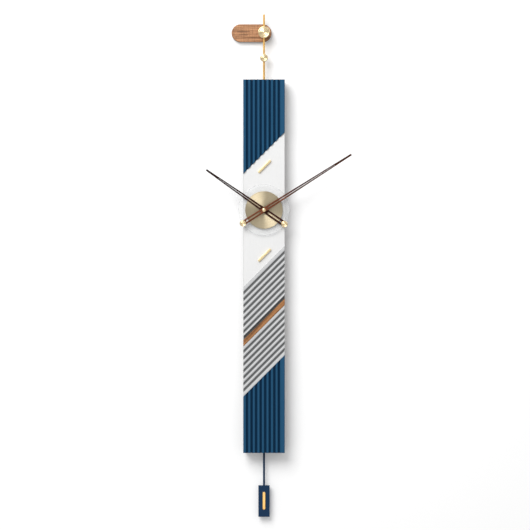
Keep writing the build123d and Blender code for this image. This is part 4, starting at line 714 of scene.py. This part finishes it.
def moulded_plastic(name, base, sparkle=0.0005, gloss=0.5):
    """Injection-moulded plastic: a spark-eroded texture, faint flow marks and handled shine."""
    finish, tree, shader, place = start_finish(name, gloss)
    erosion = noise(tree, stretched(tree, place, 0, (sparkle, sparkle, sparkle)), 2.0, 0.6)
    flow = noise(tree, stretched(tree, place, 0.4, (0.02, 0.02, 0.006)), 3.0, 0.5, 1.0)
    pale = tuple(min(part * 1.25 + 0.004, 1.0) for part in base)
    tree.links.new(ramp(tree, flow, [(0.35, base), (0.65, pale)]), shader.inputs["Base Color"])
    tree.links.new(spread(tree, flow, 0.3, 0.7, gloss - 0.08, gloss + 0.1), shader.inputs["Roughness"])
    raised(tree, shader, erosion, 0.00004)
    return finish


case_black = moulded_plastic("moulded_case_black", CASE_BLACK)
dress(case_black, "movement_case", "movement_cover", "drive_case", "drive_cover", "setting_knob", "swing_arm")
acetal = moulded_plastic("moulded_acetal", ACETAL, 0.0003, 0.38)
dress(acetal, "hour_wheel", "motion_wheel", "centre_wheel", "third_wheel")
dress(zinc, "rotor", "stator", "minute_arbor", "swing_pin", "stem_washer", "unit_screws", "swing_magnet")

nut_x, nut_z = middle_of("stem_nut")
dress(turned_brass("machined_brass", (nut_x, 0, nut_z), BRASS, 0.8, 0.3, 0.4), "threaded_stem", "stem_nut")


def winding(name, turn):
    """Fine enamelled copper wire wound side by side in layers, with painted shade between the turns."""
    finish, tree, shader, place = start_finish(name, 0.3, 0.7)
    wraps = tree.nodes.new("ShaderNodeTexWave")
    wraps.wave_type = "BANDS"
    wraps.bands_direction = "X"
    wraps.inputs["Scale"].default_value = 1.0
    wraps.inputs["Distortion"].default_value = 0.8
    tree.links.new(stretched(tree, place, turn, (COIL_WIRE, COIL_WIRE, COIL_WIRE)), wraps.inputs["Vector"])
    # Painted shade: the dark part of each band darkens the grooves between wire turns.
    shade = ramp(tree, wraps.outputs["Fac"], [(0.1, tuple(0.35 * part for part in COPPER)), (0.7, COPPER)])
    tree.links.new(shade, shader.inputs["Base Color"])
    raised(tree, shader, wraps.outputs["Fac"], 0.00006)
    return finish


dress(winding("coil_winding", up_the_board), "drive_coil")
dress(winding("push_coil_winding", 0.0), "push_coil")

solder, tree, shader, place = start_finish("solder_resist", 0.3)
tracks = tree.nodes.new("ShaderNodeTexBrick")
tracks.inputs["Scale"].default_value = 1.0
tracks.inputs["Mortar Size"].default_value = 0.12
tracks.inputs["Color1"].default_value = RESIST
tracks.inputs["Color2"].default_value = RESIST_SHADE
tracks.inputs["Mortar"].default_value = TRACK_LINE
turned_place = tree.nodes.new("ShaderNodeMapping")
turned_place.vector_type = "TEXTURE"
turned_place.inputs["Rotation"].default_value = (pi / 2, 0, 0)
turned_place.inputs["Scale"].default_value = (TRACK_CELL, TRACK_CELL, TRACK_CELL)
tree.links.new(place, turned_place.inputs["Vector"])
tree.links.new(turned_place.outputs["Vector"], tracks.inputs["Vector"])
tree.links.new(tracks.outputs["Color"], shader.inputs["Base Color"])
raised(tree, shader, tracks.outputs["Fac"], 0.00004)
dress(solder, "movement_board", "drive_board")


def cover_ribs(name, cover, keep_clear):
    """Two rows of rounded ribs moulded on a cover's back, clear of what stands in its middle."""
    low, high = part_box(cover)
    first_z = (low[2] + high[2]) / 2 - (RIB_COUNT - 1) / 2 * RIB_PITCH
    for side, side_name in ((-1, "left"), (1, "right")):
        rib_x = side * (keep_clear + RIB_LENGTH / 2)
        start_block((rib_x, high[1], first_z), (RIB_LENGTH, 2 * RIB_HEIGHT, RIB_WIDTH))
        round_edges(0.9 * RIB_HEIGHT, 3)
        bpy.ops.object.mode_set(mode="OBJECT")
        row = bpy.context.object.modifiers.new("row", "ARRAY")
        row.use_relative_offset = False
        row.use_constant_offset = True
        row.constant_offset_displace = (0, 0, RIB_PITCH)
        row.count = RIB_COUNT
        bpy.ops.object.modifier_apply(modifier=row.name)
        keep_piece(f"{name}_{side_name}", case_black, "clock_body")


cover_ribs("movement_grip_ribs", "movement_cover", 0.0165)
cover_ribs("drive_grip_ribs", "drive_cover", 0.0085)

# The cells are steel cans in a shrunk plastic sleeve, with a crimped ring round the raised contact.
JACKET = (0.075, 0.080, 0.088)
JACKET_BAND = (0.42, 0.30, 0.10)
CAN_STEEL = (0.66, 0.66, 0.64)
JACKET_THICKNESS = 0.00012
JACKET_BAND_SHARE = 0.30
CELL_NUB = 0.0012
SPRING_REACH = 0.0036
SPRING_TAPER = 0.72
CONTACT_SIZE = (0.0004, 0.009, 0.010)
CONTACT_DISH = 0.00012


def cell_jacket(name, start, length):
    """A plain two-tone sleeve over a bright can: dark for most of its length, with a gold band."""
    finish, tree, shader, place = start_finish(name, 0.3, 0.55)
    split = tree.nodes.new("ShaderNodeSeparateXYZ")
    tree.links.new(place, split.inputs[0])
    along = spread(tree, split.outputs["X"], start, start + length, 0.0, 1.0)
    band = 1 - JACKET_BAND_SHARE
    sleeve = ramp(tree, along, [
        (0.0, CAN_STEEL), (0.018, CAN_STEEL), (0.022, JACKET), (band, JACKET), (band + 0.004, JACKET_BAND),
        (0.962, JACKET_BAND), (0.968, CAN_STEEL), (1.0, CAN_STEEL),
    ])
    creases = noise(tree, stretched(tree, place, 0, (0.02, 0.0015, 0.0015)), 4.0, 0.6)
    sleeve = blended(tree, "MULTIPLY", 0.25, sleeve, ramp(tree, creases, [(0.3, 0.8), (0.6, 1.0)]))
    tree.links.new(sleeve, shader.inputs["Base Color"])
    tree.links.new(spread(tree, creases, 0.3, 0.7, 0.24, 0.38), shader.inputs["Roughness"])
    raised(tree, shader, creases, 0.00003)
    return finish


def lay_along_x(centre_x, depth_y, centre_z):
    """Turn the piece in hand from the depth axis onto the X axis and put it in its place."""
    bpy.ops.object.mode_set(mode="OBJECT")
    bpy.context.object.rotation_euler = (0, 0, pi / 2)
    bpy.context.object.location = (centre_x, depth_y, centre_z)


def bay_pieces(prefix):
    """One bay's cell, its helical spring and its two dished contacts, in place of the plain ones."""
    low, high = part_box(f"{prefix}_cell")
    radius = (high[2] - low[2]) / 2
    length = high[0] - low[0]
    cell_y, cell_z = (low[1] + high[1]) / 2, (low[2] + high[2]) / 2
    can = length - CELL_NUB
    bare = radius - JACKET_THICKNESS
    turn_profile((0, 0), [
        (0.30 * radius, 0.0003), (0.62 * radius, 0.0003), (0.66 * radius, 0.0), (bare - 0.0006, 0.0),
        (bare, 0.0005), (bare, 0.0009), (radius, 0.0010), (radius, can - 0.0021), (bare, can - 0.0020),
        (bare, can - 0.0011), (bare - 0.0002, can - 0.0008), (bare - 0.0008, can - 0.0002),
        (bare - 0.0014, can), (0.50 * radius, can - 0.0001), (0.44 * radius, can - 0.0003),
        (0.38 * radius, can), (0.37 * radius, length - 0.0002), (0.35 * radius, length),
    ], 64)
    lay_along_x(low[0], cell_y, cell_z)
    sleeve_finish = cell_jacket(f"{prefix}_cell_sleeve", low[0], length)
    keep_piece(f"{prefix}_sleeved_cell", sleeve_finish, "clock_body", [f"{prefix}_cell"])
    bay_low, bay_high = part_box(f"{prefix}_contacts")
    spring_start = bay_low[0] + CONTACT_SIZE[0]
    spring_length = low[0] - spring_start
    clear_selection()
    bpy.ops.mesh.primitive_circle_add(
        vertices=8, radius=WIRE_RADIUS, location=(spring_start + WIRE_RADIUS, cell_y - SPRING_REACH, cell_z)
    )
    bpy.ops.object.transform_apply(location=True, rotation=True, scale=True)
    bpy.ops.object.mode_set(mode="EDIT")
    bpy.ops.mesh.select_mode(type="EDGE")
    bpy.ops.mesh.select_all(action="SELECT")
    steps = int(SPRING_TURNS * STEPS_PER_TURN)
    pitch = (spring_length - 2 * WIRE_RADIUS) / steps
    shrink = SPRING_TAPER ** (1 / steps)
    middle = (spring_start, cell_y, cell_z)
    for _ in range(steps):
        extrude_by(x=pitch)
        bpy.ops.transform.rotate(value=-2 * pi / STEPS_PER_TURN, orient_axis="X", center_override=middle)
        bpy.ops.transform.resize(value=(1, shrink, shrink), center_override=middle)
    bpy.ops.mesh.select_all(action="DESELECT")
    bpy.ops.mesh.select_non_manifold(use_wire=False, use_multi_face=False, use_verts=False)
    bpy.ops.mesh.fill_holes(sides=8)
    bpy.ops.mesh.select_all(action="SELECT")
    bpy.ops.mesh.normals_make_consistent(inside=False)
    keep_piece(f"{prefix}_contact_spring", zinc, "clock_body", [f"{prefix}_contacts"], 60)
    half_thick = CONTACT_SIZE[0] / 2
    for end, plate_x, dish in (("flat", bay_low[0] + half_thick, -1), ("nub", bay_high[0] - half_thick, 1)):
        start_block((plate_x, cell_y, cell_z), CONTACT_SIZE)
        bpy.ops.object.mode_set(mode="EDIT")
        select_faces(lambda middle, normal: normal.x * -dish > 0.9)
        bpy.ops.mesh.inset(thickness=0.0022)
        bpy.ops.mesh.inset(thickness=0.0004)
        bpy.ops.transform.translate(value=(CONTACT_DISH * dish, 0, 0))
        round_edges(0.00005, 1)
        keep_piece(f"{prefix}_contact_plate_{end}", zinc, "clock_body", [f"{prefix}_contacts"])


bay_pieces("movement")
bay_pieces("drive")


# --- Hands -------------------------------------------------------------------------------
# Each hand is a forked blade of walnut, cut thin with the grain along it, pressed on a brass bush
# and balanced by a turned brass disc. Painted shade darkens each blade towards its tip, and the hour
# hand's walnut is painted darker still as shade. A domed brass cap closes the arbor.
MINUTE_ANGLE = 57.6
HOUR_ANGLE = 304.8
# The hour hand's walnut is a shaded copy of the minute hand's: the same wood painted darker as shade.
MINUTE_LIT_LIGHT = (0.215, 0.070, 0.033)
MINUTE_LIT_DARK = (0.085, 0.023, 0.011)
HOUR_SHADED_LIGHT = (0.060, 0.015, 0.008)
HOUR_SHADED_DARK = (0.018, 0.004, 0.002)
TIP_SHADE_FROM = 0.038
TIP_SHADE_FULL = 0.075
TIP_SHADE_FACTOR = 0.35
TAIL_GROOVES = 2
TAIL_GROOVE_DEPTH = 0.0003
TAIL_EDGE = 0.0005
TAIL_CENTRE = 0.0008
SOCKET_RADIUS = 0.0016
SOCKET_DEPTH = 0.0014
DOME_EDGE = 0.0002
DOME_SKIRT = 0.35

for hand, angle, light, dark in (
    ("minute", MINUTE_ANGLE, MINUTE_LIT_LIGHT, MINUTE_LIT_DARK), ("hour", HOUR_ANGLE, HOUR_SHADED_LIGHT, HOUR_SHADED_DARK)
):
    along_hand = radians(angle) - pi / 2
    hand_wood = walnut(f"{hand}_hand_shaded_walnut", along_hand, light, dark, 0.6, 0.0022, 0.1)
    tree = hand_wood.node_tree
    shader = tree.nodes["Principled BSDF"]
    wood_colour = shader.inputs["Base Color"].links[0].from_socket
    place = tree.nodes["Texture Coordinate"].outputs["Object"]
    # Painted shade: the blade's colour darkens with distance from the arbor, out towards its tip.
    out_along = distance_from_axis(tree, place, (hour_x, 0, hour_z))
    tip_shade = spread(tree, out_along, TIP_SHADE_FROM, TIP_SHADE_FULL, 1.0, TIP_SHADE_FACTOR, True)
    tree.links.new(blended(tree, "MULTIPLY", 1.0, wood_colour, tip_shade), shader.inputs["Base Color"])
    dress(hand_wood, f"{hand}_hand")
    tail_x, tail_z = middle_of(f"{hand}_tail")
    low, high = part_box(f"{hand}_tail")
    radius, back, front = (high[0] - low[0]) / 2, -high[1], -low[1]
    rings = [(radius - TAIL_EDGE, back), (radius, back + TAIL_EDGE), (radius, front - TAIL_EDGE)]
    rings += [(radius - 0.3 * TAIL_EDGE, front - 0.3 * TAIL_EDGE), (radius - TAIL_EDGE, front)]
    rings += grooved_face(radius - 1.4 * TAIL_EDGE, front, TAIL_GROOVES, TAIL_GROOVE_DEPTH, TAIL_CENTRE)
    turn_profile((tail_x, tail_z), rings, 64)
    tail_brass = turned_brass(f"{hand}_tail_brass", (tail_x, 0, tail_z), PALE_BRASS, 0.7, 0.26, 0.7, 0.0003)
    keep_piece(f"turned_{hand}_tail", tail_brass, f"{hand}_hand", [f"{hand}_tail"], 25)
    dress(brass, f"{hand}_bush")

low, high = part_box("hand_cap")
cap_radius, cap_back, cap_front = (high[0] - low[0]) / 2, -high[1], -low[1]
cap_height = cap_front - cap_back
dome = [(SOCKET_RADIUS, cap_back + SOCKET_DEPTH), (SOCKET_RADIUS, cap_back)]
dome += [(cap_radius - DOME_EDGE, cap_back), (cap_radius, cap_back + DOME_EDGE)]
dome += [(cap_radius, cap_back + DOME_SKIRT * cap_height)]
for share in range(1, 8):
    angle = share * pi / 16
    rise = DOME_SKIRT + (1 - DOME_SKIRT) * sin(angle)
    dome += [(cap_radius * cos(angle), cap_back + cap_height * rise)]
dome += [(0.12 * cap_radius, cap_front)]
turn_profile((hour_x, hour_z), dome, 48)
cap_brass = turned_brass("hand_cap_brass", (hour_x, 0, hour_z), PALE_BRASS, 0.8, 0.24, 0.4, 0.0003)
keep_piece("domed_hand_cap", cap_brass, "minute_hand", ["hand_cap"], 40)


# --- Pendulum ----------------------------------------------------------------------------
# A thin rod and a flat bob, both sprayed matt navy, with a bright brass bar let into the bob.
NAVY = (0.0090, 0.0340, 0.0840)
BAR_BRASS = (1.0, 0.66, 0.24)

navy, tree, shader, place = start_finish("matt_navy", 0.6)
shader.inputs["Specular IOR Level"].default_value = 0.12
speckle = noise(tree, stretched(tree, place, 0, (0.0007, 0.0007, 0.0007)), 4.0, 0.7)
cloud = noise(tree, stretched(tree, place, 0, (0.01, 0.01, 0.01)), 3.0, 0.6)
deep_navy, pale_navy = (tuple(share * part for part in NAVY) for share in (0.72, 1.15))
paint = ramp(tree, speckle, [(0.3, deep_navy), (0.65, pale_navy)])
paint = blended(tree, "MULTIPLY", 0.4, paint, ramp(tree, cloud, [(0.3, 0.75), (0.6, 1.0)]))
tree.links.new(paint, shader.inputs["Base Color"])
tree.links.new(spread(tree, speckle, 0.3, 0.7, 0.5, 0.68), shader.inputs["Roughness"])
raised(tree, shader, speckle, 0.00003)
dress(navy, "pendulum_rod", "pendulum_bob")
dress(drawn_brass("bright_bar_brass", BAR_BRASS, 0.55), "bob_bar")


# --- Room and light ----------------------------------------------------------------------
# A plain white wall stands behind the clock and a pale floor far below. One very large soft
# box hangs up to the left, and the room's own light fills the rest.
WALL_SIZE = 5.0
WALL_GAP = 0.0006
WALL_GLOW = 0.08
FLOOR_Z = -1.3
KEY_FROM = Vector((-0.50, -1.0, 0.80))
KEY_DISTANCE = 3.4
KEY_SIZE = 2.4
KEY_POWER = 95
REAR_FROM = Vector((0.5, 1.0, 0.5))
REAR_DISTANCE = 3.0
REAR_SIZE = 2.0
REAR_POWER = 45
ROOM_DARK = 0.14
ROOM_BRIGHT = 0.80
ROOM_LEAN = (-0.40, -0.60, 0.70)
BACKDROP = (0.96, 0.96, 0.96)
WALL_CHALK = (0.93, 0.93, 0.93, 1)
light_target = Vector((0, 0, CAMERA_AIM[1]))

clear_selection()
wall_middle = (0, WALL_GAP, CAMERA_AIM[1])
bpy.ops.mesh.primitive_plane_add(size=WALL_SIZE, location=wall_middle, rotation=(pi / 2, 0, 0))
wall = bpy.context.object
wall.name = "room_wall"
wall_paint = bpy.data.materials.new("wall_paint")
wall_paint.use_nodes = True
tree = wall_paint.node_tree
tree.nodes.clear()
surface = tree.nodes.new("ShaderNodeOutputMaterial")
lit = tree.nodes.new("ShaderNodeAddShader")
chalk = tree.nodes.new("ShaderNodeBsdfDiffuse")
chalk.inputs["Color"].default_value = WALL_CHALK
glow = tree.nodes.new("ShaderNodeEmission")
glow.inputs["Strength"].default_value = WALL_GLOW
open_back = tree.nodes.new("ShaderNodeBsdfTransparent")
either = tree.nodes.new("ShaderNodeMixShader")
facing = tree.nodes.new("ShaderNodeNewGeometry")
tree.links.new(chalk.outputs[0], lit.inputs[0])
tree.links.new(glow.outputs[0], lit.inputs[1])
tree.links.new(facing.outputs["Backfacing"], either.inputs[0])
tree.links.new(lit.outputs[0], either.inputs[1])
tree.links.new(open_back.outputs[0], either.inputs[2])
tree.links.new(either.outputs[0], surface.inputs["Surface"])
wall.data.materials.append(wall_paint)
wall.visible_shadow = False
wall.visible_diffuse = False
wall.visible_glossy = False

clear_selection()
bpy.ops.mesh.primitive_plane_add(size=2 * WALL_SIZE, location=(0, 0, FLOOR_Z))
floor = bpy.context.object
floor.name = "room_floor"
floor_finish, tree, shader, place = start_finish("pale_floor", 0.7)
floor_cloud = noise(tree, stretched(tree, place, 0, (0.6, 0.6, 0.6)), 3.0)
tree.links.new(ramp(tree, floor_cloud, [(0.3, 0.78), (0.7, 0.82)]), shader.inputs["Base Color"])
floor.data.materials.append(floor_finish)
floor.visible_diffuse = False


def soft_box(name, direction, distance, size, power):
    """A round soft light that faces the middle of the clock."""
    lamp_data = bpy.data.lights.new(name, "AREA")
    lamp_data.shape = "DISK"
    lamp_data.size = size
    lamp_data.energy = power
    lamp = bpy.data.objects.new(name, lamp_data)
    lamp.location = light_target + direction.normalized() * distance
    lamp.rotation_euler = (light_target - lamp.location).to_track_quat("-Z", "Y").to_euler()
    bpy.context.scene.collection.objects.link(lamp)


soft_box("key_soft_box", KEY_FROM, KEY_DISTANCE, KEY_SIZE, KEY_POWER)
soft_box("rear_soft_box", REAR_FROM, REAR_DISTANCE, REAR_SIZE, REAR_POWER)

room = bpy.data.worlds.new("white_room")
bpy.context.scene.world = room
room.use_nodes = True
tree = room.node_tree
background = tree.nodes["Background"]
seen = tree.nodes.new("ShaderNodeLightPath")
sky = tree.nodes.new("ShaderNodeTexCoord")
lean = tree.nodes.new("ShaderNodeVectorMath")
lean.operation = "DOT_PRODUCT"
lean.inputs[1].default_value = ROOM_LEAN
tree.links.new(sky.outputs["Generated"], lean.inputs[0])
shade = spread(tree, lean.outputs["Value"], -1.0, 1.0, ROOM_DARK, ROOM_BRIGHT)
glow_level = blended(tree, "MIX", seen.outputs["Is Camera Ray"], shade, BACKDROP)
tree.links.new(glow_level, background.inputs["Color"])
bpy.context.scene.view_settings.view_transform = "Standard"
